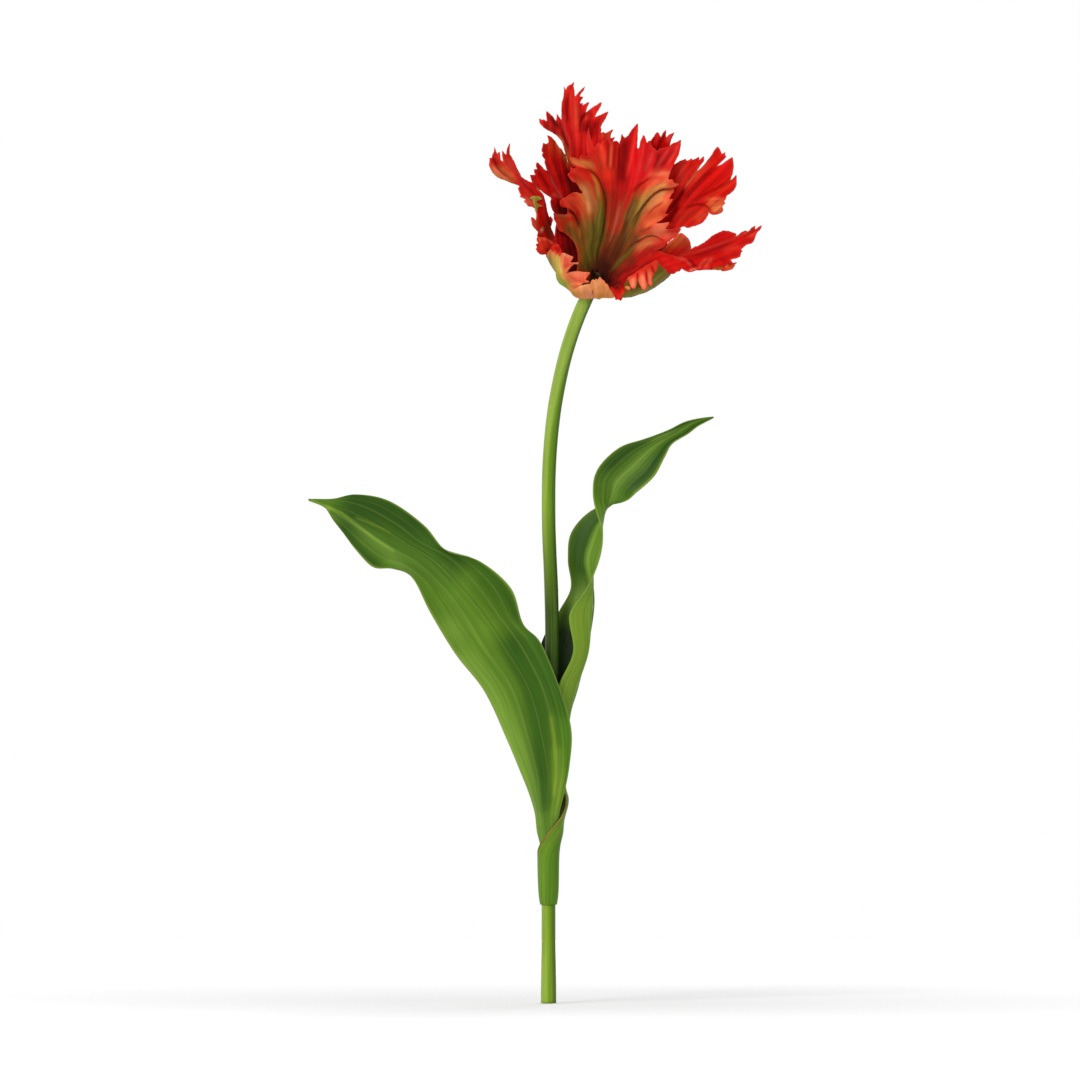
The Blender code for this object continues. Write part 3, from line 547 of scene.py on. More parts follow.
def to_path(spots, path):
    """Each flat spot's distance to a path, its side (left is positive) and its share of the way."""
    line = np.array(path, float)
    starts, ends = line[:-1], line[1:]
    sides = ends - starts
    lengths = np.linalg.norm(sides, axis=1)
    begun = np.concatenate([[0.0], np.cumsum(lengths)[:-1]])
    best = np.full(len(spots), 1e9)
    side = np.zeros(len(spots))
    share = np.zeros(len(spots))
    for start, way, length, before in zip(starts, sides, lengths, begun):
        rel = spots - start
        t = np.clip((rel @ way) / max(length**2, 1e-9), 0.0, 1.0)
        gap = np.linalg.norm(rel - t[:, None] * way, axis=1)
        nearer = gap < best
        best = np.where(nearer, gap, best)
        side = np.where(nearer, np.sign(way[0] * rel[:, 1] - way[1] * rel[:, 0]), side)
        share = np.where(nearer, (before + t * length) / max(lengths.sum(), 1e-9), share)
    return best, side, share


def rise(values, start, length=1.0):
    """0 up to the start, then evenly up to 1 over this length."""
    return np.clip((values - start) / length, 0.0, 1.0)


def fall(values, end, length=1.0):
    """1 at first, then evenly down over this length to 0 at the end."""
    return np.clip((end - values) / length, 0.0, 1.0)


def dye(tint, colour, share):
    """Mixes a colour into the painted points, each by its own share."""
    tint += (linear(colour) - tint) * np.clip(share, 0.0, 1.0)[:, None]


def brush(tint, spots, colour, width, path, strength=1.0, feather=0.0, fade=0.0):
    """Paints a soft stroke along a path of the flat drawing, feathered sides, fading ends."""
    gap, _, share = to_path(spots, path)
    reach = 0.55 * width * np.clip(1.0 + feather, 0.35, 1.8)
    ends = 1.0 - fade * (1.0 - rise(np.minimum(share, 1.0 - share), 0.0, 0.2))
    dye(tint, colour, strength * ends * np.exp(-((gap / reach) ** 2)))


def store_drawing(mesh, tint, flow):
    """Keeps the painted colour and the coordinates along the veins on a mesh's points."""
    colours = mesh.attributes.new("tint", "FLOAT_COLOR", "POINT")
    colours.data.foreach_set("color",
                             np.column_stack([tint, np.ones(len(tint))]).astype(np.float32).ravel())
    place = mesh.uv_layers.new(name="veins")
    corners = np.empty(len(mesh.loops), np.int32)
    mesh.loops.foreach_get("vertex_index", corners)
    place.data.foreach_set("uv", flow[corners].astype(np.float32).ravel())


def grid_faces(rows, columns):
    """The quads of a grid of points."""
    width = columns + 1
    return [
        (c, c + 1, c + width + 1, c + width)
        for row in range(rows) for c in range(row * width, row * width + columns)
    ]


def leaf_fields(ribs):
    """The leaf's points, with across from -1 to 1 and along counted in ribs."""
    rows = (len(ribs) - 1) * ROWS_PER_RIB
    grid = surface(ribs, LEAF_COLUMNS, rows)
    across = np.tile(np.linspace(-1.0, 1.0, LEAF_COLUMNS + 1), (rows + 1, 1))
    along = np.tile(np.linspace(0.0, len(ribs) - 1.0, rows + 1)[:, None], (1, LEAF_COLUMNS + 1))
    return grid, across, along


def ridge(across, centre, width):
    """A smooth raised line along the leaf."""
    return np.exp(-(((across - centre) / width) ** 2))


def leaf_sheet(name, grid, tint, across, materials):
    """The finished sheet with its thickness. The first material is on the face that the ribs' order
    turns outwards."""
    rows, columns = grid.shape[0] - 1, grid.shape[1] - 1
    mesh = bpy.data.meshes.new(name)
    mesh.from_pydata(grid.reshape(-1, 3) * MM, [], grid_faces(rows, columns))
    steps = np.linalg.norm(np.diff(grid[:, columns // 2], axis=0), axis=1)
    distance = np.concatenate([[0.0], np.cumsum(steps)])
    flow = np.column_stack([across.ravel() * 22.0, np.repeat(distance, columns + 1)]) * MM
    store_drawing(mesh, tint, flow)
    mesh.shade_smooth()
    piece = bpy.data.objects.new(name, mesh)
    bpy.context.scene.collection.objects.link(piece)
    for material in materials:
        mesh.materials.append(material)
    shell = piece.modifiers.new("thickness", "SOLIDIFY")
    shell.thickness = LEAF_THICKNESS * MM
    shell.offset = 0.0
    shell.material_offset = len(materials) - 1
    return piece


def veined_material(name, vein_colour, vein_share, dark, dark_share, streak, vein, mottle, relief,
                    rough, gloss, shaded=0.0):
    """Coated fabric: the painted tint, with streaks and veins along the piece's own coordinates.
    Shaded is how much the piece's own shade attribute darkens this face."""
    made, tree, shader = new_material(name)
    shader.inputs["Specular IOR Level"].default_value = gloss
    tint = put(tree, "ShaderNodeAttribute", attribute_name="tint").outputs["Color"]
    shade = put(tree, "ShaderNodeAttribute", attribute_name="shade").outputs["Fac"]
    # Darkens the tint towards this dark green by the piece's painted shade attribute.
    tint = mixed(tree, ranged(tree, shade, 0.0, 1.0, 0.0, shaded), tint, rgba((22, 46, 3)))
    flat = put(tree, "ShaderNodeUVMap", uv_map="veins").outputs[0]
    turned = put(tree, "ShaderNodeSeparateXYZ", {0: flat}).outputs
    spot = put(tree, "ShaderNodeCombineXYZ", {"X": turned["X"], "Z": turned["Y"]}).outputs[0]
    marks = streaks_on(tree, spot, streak, vein, mottle)
    between = ranged(tree, marks["Streaks"], 0.1, 0.95, dark_share, 0.0)
    darker = mixed(tree, between, tint, mixed(tree, 1.0, tint, rgba(dark), "MULTIPLY"))
    light = ranged(tree, marks["Veins"], 0.5, 1.0, 0.0, vein_share)
    veined = mixed(tree, light, darker, mixed(tree, 1.0, darker, rgba(vein_colour), "SCREEN"))
    tree.links.new(veined, shader.inputs["Base Color"])
    tree.links.new(ranged(tree, marks["Mottle"], 0.0, 1.0, rough - 0.08, rough + 0.1),
                   shader.inputs["Roughness"])
    fine = put(tree, "ShaderNodeMath", {0: marks["Veins"], 1: 0.6}, operation="MULTIPLY").outputs[0]
    height = put(tree, "ShaderNodeMath", {0: fine, 1: marks["Streaks"]}, operation="ADD").outputs[0]
    bump = put(tree, "ShaderNodeBump", {"Strength": 0.6, "Distance": relief, "Height": height})
    tree.links.new(bump.outputs[0], shader.inputs["Normal"])
    return made


LEAF_LOOK = dict(vein_colour=(70, 90, 40), vein_share=0.16, dark=(136, 168, 90), dark_share=0.6,
                 streak=200.0, vein=900.0, mottle=500.0, relief=0.00012, rough=0.44, gloss=0.14)
leaf_inner = veined_material("leaf_inner_face", **LEAF_LOOK, shaded=1.0)
leaf_outer = veined_material("leaf_outer_face", **{**LEAF_LOOK, "rough": 0.5, "vein_share": 0.22})


def left_leaf_ribs():
    """The left leaf from its clasp round the stem's front to its tip."""
    hug = CLASP_RADIUS
    return [
        arc_rib(77.0, hug, -160, -20), arc_rib(90.5, hug, -165, -20),
        arc_rib(104.0, hug, -165, -20),
        free_rib((-7.5, -1, 115), (-0.5, -7, 116), (6, -4.5, 115)),
        free_rib((-9, 0, 127), (-1, -8.5, 128), (7, -6.5, 127)),
        free_rib((-13, 1, 141), (-1, -10, 142), (11, -8, 143)),
        free_rib((-18, 2, 154), (-1, -11, 155), (14, -9.5, 160)),
        free_rib((-28, 1, 177), (-5, -14, 179), (15, -11, 183)),
        free_rib((-43, -2, 209), (-14, -17, 211), (8, -13, 209)),
        free_rib((-62, -10, 234), (-30, -20, 238), (-5, -15, 241)),
        free_rib((-79, -20, 262), (-46, -26, 262), (-17, -18, 254)),
        free_rib((-91, -32, 285), (-62, -30, 281), (-25, -28, 278)),
        free_rib((-104, -40, 291), (-78, -35, 297), (-46, -30, 296)),
        free_rib((-117, -44, 292), (-96, -40, 308), (-68, -36, 303)),
        free_rib((-128, -44, 303), (-113, -45, 319), (-83, -40, 320)),
        free_rib((-137, -46, 315), (-128, -49, 327), (-106, -44, 336)),
        free_rib((-143, -49, 323), (-139, -51, 332), (-128, -47, 340.5)),
        free_rib((-149, -51, 332), (-148, -52, 334.5), (-144, -50, 337.5)),
        free_rib((-160, -54, 336.4), (-160, -54, 337), (-160, -54, 337.6)),
    ]


grid, across, along = leaf_fields(left_leaf_ribs())
open_share = rise(along, 3.0, 3.0) * fall(along, 18.0, 2.0)
lift = (-0.55 * ridge(across, 0.02, 0.05) + 0.45 * ridge(across, -0.38, 0.09)
        - 0.35 * ridge(across, -0.2, 0.07))
lift += (0.4 * ridge(across, 0.42, 0.08) - 0.3 * ridge(across, 0.62, 0.06)
         - 0.25 * ridge(across, -0.66, 0.07))
ripple = 0.3 * np.sin(along * 1.7 + across * 2.0) * np.abs(across) ** 3
lift += 0.035 * np.cos(across * 52.0) + ripple
grid = grid + surface_normals(grid) * (lift * open_share)[..., None]

flat = grid[..., (0, 2)].reshape(-1, 2)
u = across.ravel()
s = along.ravel()
tint = np.tile(linear((98, 136, 40)), (len(flat), 1))
for colour, width, path, strength in (
    # Painted highlights: the pale bands of this stroke and the next two.
    ((172, 210, 102), 26, [(-14, 134), (-32, 172), (-53, 212), (-70, 243)], 0.9),
    ((126, 162, 74), 14, [(-8, 130), (-20, 160), (-34, 195), (-52, 225), (-66, 250)], 0.5),
    ((190, 222, 122), 5, [(-10, 128), (-19, 150), (-30, 176), (-42, 198)], 0.6),
    ((54, 94, 16), 18, [(0, 132), (-3, 156), (-6, 186), (-12, 215), (-24, 240)], 0.95),
    ((58, 104, 20), 18, [(12, 196), (7, 208), (0, 224), (-8, 242)], 0.85),
    ((130, 164, 60), 8, [(5, 124), (7, 140), (8, 156), (7, 168)], 0.9),
    ((150, 172, 60), 3, [(4, 140), (4, 160), (4, 176), (2, 192)], 0.5),
    ((86, 136, 34), 12, [(13, 160), (13, 174), (12, 187)], 0.7),
    ((116, 154, 54), 16, [(-58, 240), (-44, 250), (-28, 258)], 0.6),
    ((58, 98, 14), 22, [(-22, 262), (-34, 280), (-46, 294)], 0.9),
    ((110, 148, 50), 15, [(-74, 262), (-64, 275), (-56, 287)], 0.6),
    ((90, 130, 50), 16, [(-66, 285), (-90, 300), (-112, 311), (-136, 328)], 0.7),
    ((116, 150, 76), 9, [(-94, 288), (-104, 298), (-120, 311), (-138, 327)], 0.7),
    # Painted shade on the blade's upper half near its tip, in this stroke and the darkest strokes
    # below it.
    ((44, 82, 12), 24, [(-62, 300), (-84, 315), (-104, 329), (-128, 338)], 0.95),
    ((70, 112, 34), 9, [(-76, 304), (-88, 316), (-100, 326)], 0.6),
    ((36, 72, 8), 20, [(-92, 322), (-108, 328), (-128, 333)], 0.75),
    ((42, 80, 12), 15, [(-137, 316), (-129, 304), (-118, 294)], 0.95),
    ((66, 108, 20), 12, [(-84, 266), (-76, 252), (-68, 238)], 0.7),
    ((150, 184, 78), 2.4, [(-84, 270), (-72, 250), (-64, 236), (-40, 190)], 0.6),
    ((146, 174, 80), 1.8, [(-148, 333), (-138, 328), (-126, 319), (-116, 311), (-104, 303)], 0.7),
    ((130, 152, 48), 1.2, [(-128, 325), (-116, 320), (-106, 315.5)], 0.6),
    ((150, 182, 96), 2.4, [(-158, 336), (-150, 332.5), (-146, 331)], 0.7),
    ((70, 110, 30), 6, [(-2, 118), (0, 124), (4, 122)], 0.5),
):
    brush(tint, flat, colour, width, path, strength)
tint *= LEAF_CAST
dye(tint, (160, 184, 74), ridge(np.abs(u), 1.0, 0.035) * 0.75)
dye(tint, (134, 172, 66), fall(s, 4.5, 3.0) * 0.6)
for centre, width, share in (
    (0.02, 0.02, 0.22), (-0.38, 0.03, 0.16), (0.42, 0.025, 0.18), (-0.7, 0.02, 0.14),
    (0.7, 0.02, 0.12),
):
    dye(tint, (166, 192, 92), ridge(u, centre, width) * share * rise(s, 4.0))
    dye(tint, (58, 92, 20), ridge(u, centre + 0.05, 0.03) * share * rise(s, 4.0))
left_leaf = leaf_sheet("left_leaf_sheet", grid, tint, across, [leaf_inner, leaf_outer])
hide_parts("left_leaf_clasp", "left_leaf_bend_zone", "left_leaf_blade")
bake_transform(left_leaf)

# ---------------------------------------------------------------------------
# Right leaf: the same coated fabric. Its foot is rolled into a sheath round the stem and the left
# leaf's foot, with a brown margin; above it the blade rises behind the stem and twists outwards.

WRAP_RADIUS = CLASP_RADIUS + LEAF_THICKNESS + SEAT_GAP


def right_leaf_ribs():
    """The right leaf: a sheath round stem and left leaf, then a blade that twists outwards."""
    wrap = WRAP_RADIUS
    return [
        arc_rib(66.0, CLASP_RADIUS, -195, 145), arc_rib(75.0, wrap, -195, 142),
        arc_rib(96.0, wrap + 0.4, -184, 136), arc_rib(105.0, wrap + 1.1, -145, 130),
        arc_rib(114.0, wrap + 3.0, -92, 122), arc_rib(126.0, wrap + 4.6, -36, 113),
        free_rib((11.5, -6, 136), (11.5, 3, 136), (-2.5, 9, 136)),
        free_rib((9, -4.5, 146), (10, 4, 146), (-3, 9.5, 146)),
        free_rib((8.5, -5, 165), (11, 4.5, 165), (-3, 10, 165)),
        free_rib((8.5, -5, 193), (13.5, 5, 193), (-3.5, 10, 193)),
        free_rib((6.5, -6, 211), (18.5, 5, 211), (-3.5, 11, 215)),
        free_rib((16.5, -3, 235), (25, 6, 236), (-5, 12, 240)),
        free_rib((14, -1, 260), (29, 8, 262), (7, 15, 262)),
        free_rib((25, 2, 277), (29, 12, 278), (15, 19, 278)),
        free_rib((34, 8, 297), (26, 16, 297), (13, 22, 297)),
        free_rib((36.4, 8, 315), (31.5, 20, 315), (15.4, 26, 315.5)),
        free_rib((31.6, 10.5, 331), (38, 20, 328.6), (30, 27, 330.6)),
        free_rib((29.8, 14, 341.5), (41, 22, 338.6), (51, 23, 336)),
        free_rib((31, 16, 353), (44, 22, 350), (59, 18, 342)),
        free_rib((37, 20, 363), (54, 25, 360), (71, 18, 353)),
        free_rib((49, 26, 373), (64, 28, 369), (78, 20, 366)),
        free_rib((64, 30, 378), (74, 30, 376), (83, 26, 375)),
        free_rib((80, 31, 384), (87, 32, 383), (94, 29, 382)),
        free_rib((93, 33, 390), (97, 34, 389), (101, 32, 387)),
        free_rib((111, 36, 393.2), (111, 36, 392.8), (111, 36, 392.2)),
    ]


grid, across, along = leaf_fields(right_leaf_ribs())
open_share = rise(along, 8.0, 3.0) * fall(along, 24.0, 2.0)
lift = (-0.45 * ridge(across, 0.0, 0.06) + 0.35 * ridge(across, -0.4, 0.09)
        + 0.35 * ridge(across, 0.45, 0.09))
ripple = 0.3 * np.sin(along * 1.3 + across * 2.0) * np.abs(across) ** 3
lift += 0.03 * np.cos(across * 46.0) + ripple
grid = grid + surface_normals(grid) * (lift * open_share)[..., None]
rolled = rise(along, 0.0, 1.5) * fall(along, 8.0, 1.5)
grid = grid + surface_normals(grid) * (0.35 * ridge(across, -1.0, 0.05) * rolled)[..., None]

flat = grid[..., (0, 2)].reshape(-1, 2)
u = across.ravel()
s = along.ravel()
tint = np.tile(linear((104, 146, 42)), (len(flat), 1))
crown, tip = rise(s, 8.0, 2.0), rise(s, 16.0, 1.2)
dye(tint, (116, 152, 52), 0.8 * ((s < 5.0) & (u < -0.5)))
dye(tint, (96, 138, 34), 0.6 * ridge(u, -0.1, 0.35) * (s < 5.5))
dye(tint, (128, 168, 70), 0.55 * ridge(u, 0.35, 0.2) * (s < 6.0))
dye(tint, (130, 164, 68), 0.9 * crown * (s < 15.5))
dye(tint, (150, 170, 62), 0.6 * ridge(u, -0.75, 0.2) * ridge(s, 11.0, 1.5))
# Painted shade in the hollow of the twisting blade's inner face.
dye(tint, (46, 84, 12), 0.9 * rise(u, -0.05, 0.3) * rise(s, 12.6) * fall(s, 17.2))
dye(tint, (92, 130, 34), 0.8 * ridge(u, 0.95, 0.25) * rise(s, 12.6) * fall(s, 16.6))
dye(tint, (108, 146, 52), 0.7 * fall(u, -0.05, 0.2) * rise(s, 12.6) * (1.0 - tip))
dye(tint, (84, 122, 40), 0.85 * tip)
dye(tint, (40, 76, 10), 0.95 * ridge(u, -0.62, 0.36) * rise(s, 17.6, 1.2))
dye(tint, (112, 144, 66), 0.75 * ridge(u, 0.12, 0.3) * tip * fall(s, 23.0, 2.0))
dye(tint, (38, 74, 8), 0.95 * ridge(u, 0.74, 0.26) * rise(s, 17.2))
dye(tint, (124, 156, 74), 0.8 * ridge(u, -0.5, 0.3) * ridge(s, 21.6, 0.7))
dye(tint, (158, 184, 104), 0.4 * ridge(u, 0.14, 0.03) * rise(s, 16.0, 2.0))
tint *= LEAF_CAST
dye(tint, (150, 178, 64), 0.8 * ridge(np.abs(u), 1.0, 0.05) * rise(s, 8.0))
dye(tint, (150, 96, 46), 0.95 * ridge(u, -1.0, 0.06) * rise(s, 0.8, 0.5) * fall(s, 8.4, 1.2))
dye(tint, (196, 158, 84), 0.85 * ridge(u, -1.0, 0.035) * rise(s, 3.4, 0.5) * fall(s, 5.6, 0.6))
for centre in (-0.7, -0.4, 0.35, 0.62):
    dye(tint, (156, 184, 92), 0.1 * ridge(u, centre, 0.025))
    dye(tint, (60, 96, 22), 0.16 * ridge(u, centre + 0.06, 0.03))
right_leaf = leaf_sheet("right_leaf_sheet", grid, tint, across, [leaf_outer, leaf_inner])
# Painted shade on the inner face of the sheath's wrap behind the stem, used by the inner face's
# material.
shade = 0.97 * rise(u, 0.05, 0.15) * rise(s, 4.0) * fall(s, 12.4)
right_leaf.data.attributes.new("shade", "FLOAT", "POINT").data.foreach_set("value", shade)
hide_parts("right_leaf_sheath", "right_leaf_bend_zone", "right_leaf_blade")
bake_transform(right_leaf)

# ---------------------------------------------------------------------------
# Leaf wires: thin steel wire in a green paper sleeve, glued along the back of each leaf's middle
# line. It is what holds the leaf in the curve that it is bent to.

LEAF_WIRE_RADIUS = 0.45
WIRE_ROWS_PER_RIB = 8

sleeve, tree, shader = new_material("green_wire_sleeve")
rod_place = put(tree, "ShaderNodeAttribute", attribute_name="on_rod").outputs["Vector"]
fibres = put(tree, "ShaderNodeTexNoise",
             {"Vector": rod_place, "Scale": 1800.0, "Detail": 4.0}).outputs["Fac"]
wound = put(tree, "ShaderNodeTexWave", {"Vector": rod_place, "Scale": 90.0, "Distortion": 1.2},
            bands_direction="Z")
paper = mixed(tree, ranged(tree, fibres, 0.35, 0.65), rgba((84, 120, 40)), rgba((112, 148, 62)))
seam = ranged(tree, wound.outputs["Fac"], 0.0, 0.25, 0.35, 0.0)
tree.links.new(mixed(tree, seam, paper, rgba((50, 80, 20))), shader.inputs["Base Color"])
tree.links.new(ranged(tree, fibres, 0.3, 0.7, 0.6, 0.85), shader.inputs["Roughness"])
bump = put(tree, "ShaderNodeBump",
           {"Strength": 0.4, "Distance": 0.0001, "Height": wound.outputs["Fac"]})
tree.links.new(bump.outputs[0], shader.inputs["Normal"])


def wire_path(name, ribs, start, end, side):
    """The path of the wire behind a leaf's middle line, from one rib's number to another's."""
    rows = (len(ribs) - 1) * WIRE_ROWS_PER_RIB
    grid = surface(ribs, 20, rows)
    normals = surface_normals(grid)
    reach = LEAF_THICKNESS / 2 + SEAT_GAP + LEAF_WIRE_RADIUS
    first, last = round(start * WIRE_ROWS_PER_RIB), round(end * WIRE_ROWS_PER_RIB)
    return path_mesh(name,
                     [grid[k, 10] + normals[k, 10] * side * reach for k in range(first, last + 1)])


sleeve_values = dict(foot_radius=LEAF_WIRE_RADIUS * MM, radius=LEAF_WIRE_RADIUS * MM,
                     taper_length=0.01,
                     sides=10, closed_ends=True, material=sleeve)
left_path = wire_path("left_leaf_wire_sleeve", left_leaf_ribs(), start=4.1, end=14.0, side=-1)
right_path = wire_path("right_leaf_wire_sleeve", right_leaf_ribs(), start=7.1, end=15.5, side=1)
left_wire = formed("left_leaf_wire_sleeve", left_path, ROD, **sleeve_values)
right_wire = formed("right_leaf_wire_sleeve", right_path, ROD, **sleeve_values)
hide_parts("left_leaf_wire")
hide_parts("right_leaf_wire")
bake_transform(left_wire)
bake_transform(right_wire)

# ---------------------------------------------------------------------------
# Receptacle: the moulded boss on top of the stem, where every petal's claw is glued. It swells out
# of the stem below and is flat on top, where the seed head and the stamens stand.

RECEPTACLE_RADIUS = 6.0
SEAT_RADIUS = 3.6
TURNED_SIDES = 48
SOCKET_RADIUS = 1.5
COLLAR_LENGTH = 0.4
FOOT_DROP = -math.sqrt(RECEPTACLE_RADIUS**2 - STEM_RADIUS**2)
SEAT_RISE = math.sqrt(RECEPTACLE_RADIUS**2 - SEAT_RADIUS**2)
CENTRE = AXIS[-1] + TIP_DIRECTION * (SEAT_GAP - FOOT_DROP)
FLOWER_TURN = TIP_DIRECTION.to_track_quat("Z", "Y").to_matrix()


def turned_points(profile, sides, lobes=0, depth=0.0):
    """Points of a turned form round the flower's axis, in millimetres, with lobes if asked."""
    return [
        Vector((radius * (1 + depth * math.cos(lobes * turn)) * math.cos(turn),
                radius * (1 + depth * math.cos(lobes * turn)) * math.sin(turn), height))
        for radius, height in profile
        for turn in (math.tau * k / sides for k in range(sides))
    ]


def ring_faces(rings, sides, first=0):
    """Quads between rings of points, closed round."""
    return [
        (first + r * sides + k, first + r * sides + (k + 1) % sides,
         first + (r + 1) * sides + (k + 1) % sides, first + (r + 1) * sides + k)
        for r in range(rings - 1) for k in range(sides)
    ]


def add_piece(name, points, faces, material):
    """A mesh piece from points in millimetres, its doubles joined and its faces turned outwards."""
    mesh = bpy.data.meshes.new(name)
    mesh.from_pydata([Vector(point) * MM for point in points], [], faces)
    piece = bpy.data.objects.new(name, mesh)
    bpy.context.scene.collection.objects.link(piece)
    outward(piece, 0.02 * MM)
    mesh.shade_smooth()
    mesh.materials.append(material)
    return piece


def moulded_material(name, low, high, rough, scale):
    """Moulded plastic with fine mottling on the object's own coordinates."""
    made, tree, shader = new_material(name)
    shader.inputs["Specular IOR Level"].default_value = 0.12
    spot = put(tree, "ShaderNodeTexCoord").outputs["Object"]
    mottle = put(tree, "ShaderNodeTexNoise",
                 {"Vector": spot, "Scale": scale, "Detail": 5.0}).outputs["Fac"]
    pores = put(tree, "ShaderNodeTexVoronoi",
                {"Vector": spot, "Scale": scale * 3.0}).outputs["Distance"]
    colour = mixed(tree, ranged(tree, mottle, 0.35, 0.65), rgba(low), rgba(high))
    tree.links.new(mixed(tree, ranged(tree, pores, 0.0, 0.3, 0.4, 0.0), colour, rgba(low)),
                   shader.inputs["Base Color"])
    tree.links.new(ranged(tree, mottle, 0.3, 0.7, rough, rough + 0.2), shader.inputs["Roughness"])
    bump = put(tree, "ShaderNodeBump", {"Strength": 0.4, "Distance": 0.0002, "Height": pores})
    tree.links.new(bump.outputs[0], shader.inputs["Normal"])
    return made


first_turn = math.acos(SEAT_RISE / RECEPTACLE_RADIUS)
last_turn = math.acos(FOOT_DROP / RECEPTACLE_RADIUS)
turns = [first_turn + (last_turn - first_turn) * k / 20 for k in range(21)]
profile = [(0.001, SEAT_RISE), (2.0, SEAT_RISE)]
profile += [(RECEPTACLE_RADIUS * math.sin(a), RECEPTACLE_RADIUS * math.cos(a)) for a in turns]
collar_foot = FOOT_DROP - SEAT_GAP - COLLAR_LENGTH
profile += [(STEM_RADIUS + 0.02, collar_foot), (SOCKET_RADIUS, collar_foot)]
points = [CENTRE + FLOWER_TURN @ p for p in turned_points(profile, TURNED_SIDES)]
boss = moulded_material("receptacle_plastic", (62, 44, 14), (92, 74, 24), 0.45, 700.0)
receptacle = add_piece("receptacle_boss", points, ring_faces(len(profile), TURNED_SIDES), boss)
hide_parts("receptacle")
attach(receptacle, "head")

# ---------------------------------------------------------------------------
# Seed head: one moulding of soft olive plastic, three-sided, with a three-lobed cap. It is pressed
# into the middle of the receptacle.

LOBES, LOBE_DEPTH = 3, 0.12
profile = [(0.001, 8.0), (0.9, 8.05), (1.6, 7.9), (2.1, 7.5), (2.3, 7.1), (2.1, 6.6), (1.5, 6.0),
           (1.2, 5.4), (1.35, 4.4), (1.5, 3.2), (1.48, 1.8), (1.4, 0.6), (1.35, 0.0), (0.001, 0.0)]
base = CENTRE + FLOWER_TURN @ Vector((0.0, 0.0, SEAT_RISE + SEAT_GAP))
points = [base + FLOWER_TURN @ p for p in turned_points(profile, TURNED_SIDES, LOBES, LOBE_DEPTH)]
seed_plastic = moulded_material("seed_head_plastic", (44, 30, 8), (84, 66, 22), 0.5, 1100.0)
seed_head = add_piece("seed_head", points, ring_faces(len(profile), TURNED_SIDES), seed_plastic)
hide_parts("pistil")
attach(seed_head, "head")

# ---------------------------------------------------------------------------
# Stamens: six dark plastic filaments pressed into the receptacle round the seed head, each with a
# long anther that is flocked with dark grains.


def flocking():
    """Node tree: small grains scattered over a surface."""
    tree = bpy.data.node_groups.new("flocking", "GeometryNodeTree")
    sockets = tree.interface
    sockets.new_socket("Surface", in_out="INPUT", socket_type="NodeSocketGeometry")
    for name, kind in (("Grain Radius", "Float"), ("Grains Per Area", "Float"), ("Seed", "Int"),
                       ("Material", "Material")):
        sockets.new_socket(name, in_out="INPUT", socket_type="NodeSocket" + kind)
    sockets.new_socket("Grains", in_out="OUTPUT", socket_type="NodeSocketGeometry")
    given = put(tree, "NodeGroupInput").outputs
    spread = put(tree, "GeometryNodeDistributePointsOnFaces", {
        "Mesh": given["Surface"], "Density": given["Grains Per Area"], "Seed": given["Seed"]})
    grain = put(tree, "GeometryNodeMeshIcoSphere",
                {"Radius": given["Grain Radius"], "Subdivisions": 1})
    sizes = put(tree, "FunctionNodeRandomValue", {"Seed": given["Seed"]}, data_type="FLOAT")
    sizes.inputs[2].default_value, sizes.inputs[3].default_value = 0.7, 1.3
    planted = put(tree, "GeometryNodeInstanceOnPoints", {
        "Points": spread.outputs["Points"], "Instance": grain.outputs["Mesh"],
        "Rotation": spread.outputs["Rotation"]})
    tree.links.new(sizes.outputs[1], planted.inputs["Scale"])
    real = put(tree, "GeometryNodeRealizeInstances", {"Geometry": planted.outputs[0]})
    coated = put(tree, "GeometryNodeSetMaterial",
                 {"Geometry": real.outputs[0], "Material": given["Material"]})
    tree.links.new(coated.outputs[0], put(tree, "NodeGroupOutput").inputs[0])
    return tree


STAMEN_COUNT, STAMEN_SIDES = 6, 14
STAMEN_RING, STAMEN_LEAN = 2.55, math.radians(14.0)
FILAMENT_RADIUS = 0.45
ANTHER_RINGS = 6
profile = [(0.001, 9.0), (0.45, 8.9), (0.72, 8.4), (0.85, 7.4), (0.85, 6.0), (0.7, 5.0),
           (0.45, 4.5),
           (0.42, 2.5), (FILAMENT_RADIUS, 0.0), (0.001, 0.0)]
points, faces, anther_points, anther_faces = [], [], [], []
lift = SEAT_RISE + SEAT_GAP + FILAMENT_RADIUS * math.sin(STAMEN_LEAN)
for number in range(STAMEN_COUNT):
    turn = math.tau * number / STAMEN_COUNT
    foot = Vector((STAMEN_RING * math.cos(turn), STAMEN_RING * math.sin(turn), lift))
    way = Vector((math.sin(STAMEN_LEAN) * math.cos(turn), math.sin(STAMEN_LEAN) * math.sin(turn),
                  math.cos(STAMEN_LEAN)))
    lean = way.to_track_quat("Z", "Y").to_matrix()
    oval = turned_points(profile, STAMEN_SIDES, lobes=2, depth=0.1)
    placed = [CENTRE + FLOWER_TURN @ (foot + lean @ p) for p in oval]
    faces += ring_faces(len(profile), STAMEN_SIDES, len(points))
    points += placed
    anther_faces += ring_faces(ANTHER_RINGS, STAMEN_SIDES, len(anther_points))
    anther_points += placed[: ANTHER_RINGS * STAMEN_SIDES]
dark_plastic = moulded_material("stamen_plastic", (22, 4, 2), (44, 12, 4), 0.55, 1500.0)
stamens = add_piece("stamens", points, faces, dark_plastic)
grain_material = moulded_material("anther_grain", (26, 5, 2), (54, 20, 6), 0.75, 2500.0)
anther_mesh = bpy.data.meshes.new("anther_grains")
anther_mesh.from_pydata([p * MM for p in anther_points], [], anther_faces)
grains = formed("anther_grains", anther_mesh, flocking(), grain_radius=0.00016,
                grains_per_area=9.0e6, seed=4, material=grain_material)
stamen_names = [f"stamen_{number}" for number in range(1, STAMEN_COUNT + 1)]
for piece in (stamens, grains):
    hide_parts(*stamen_names)
    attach(piece, "head")
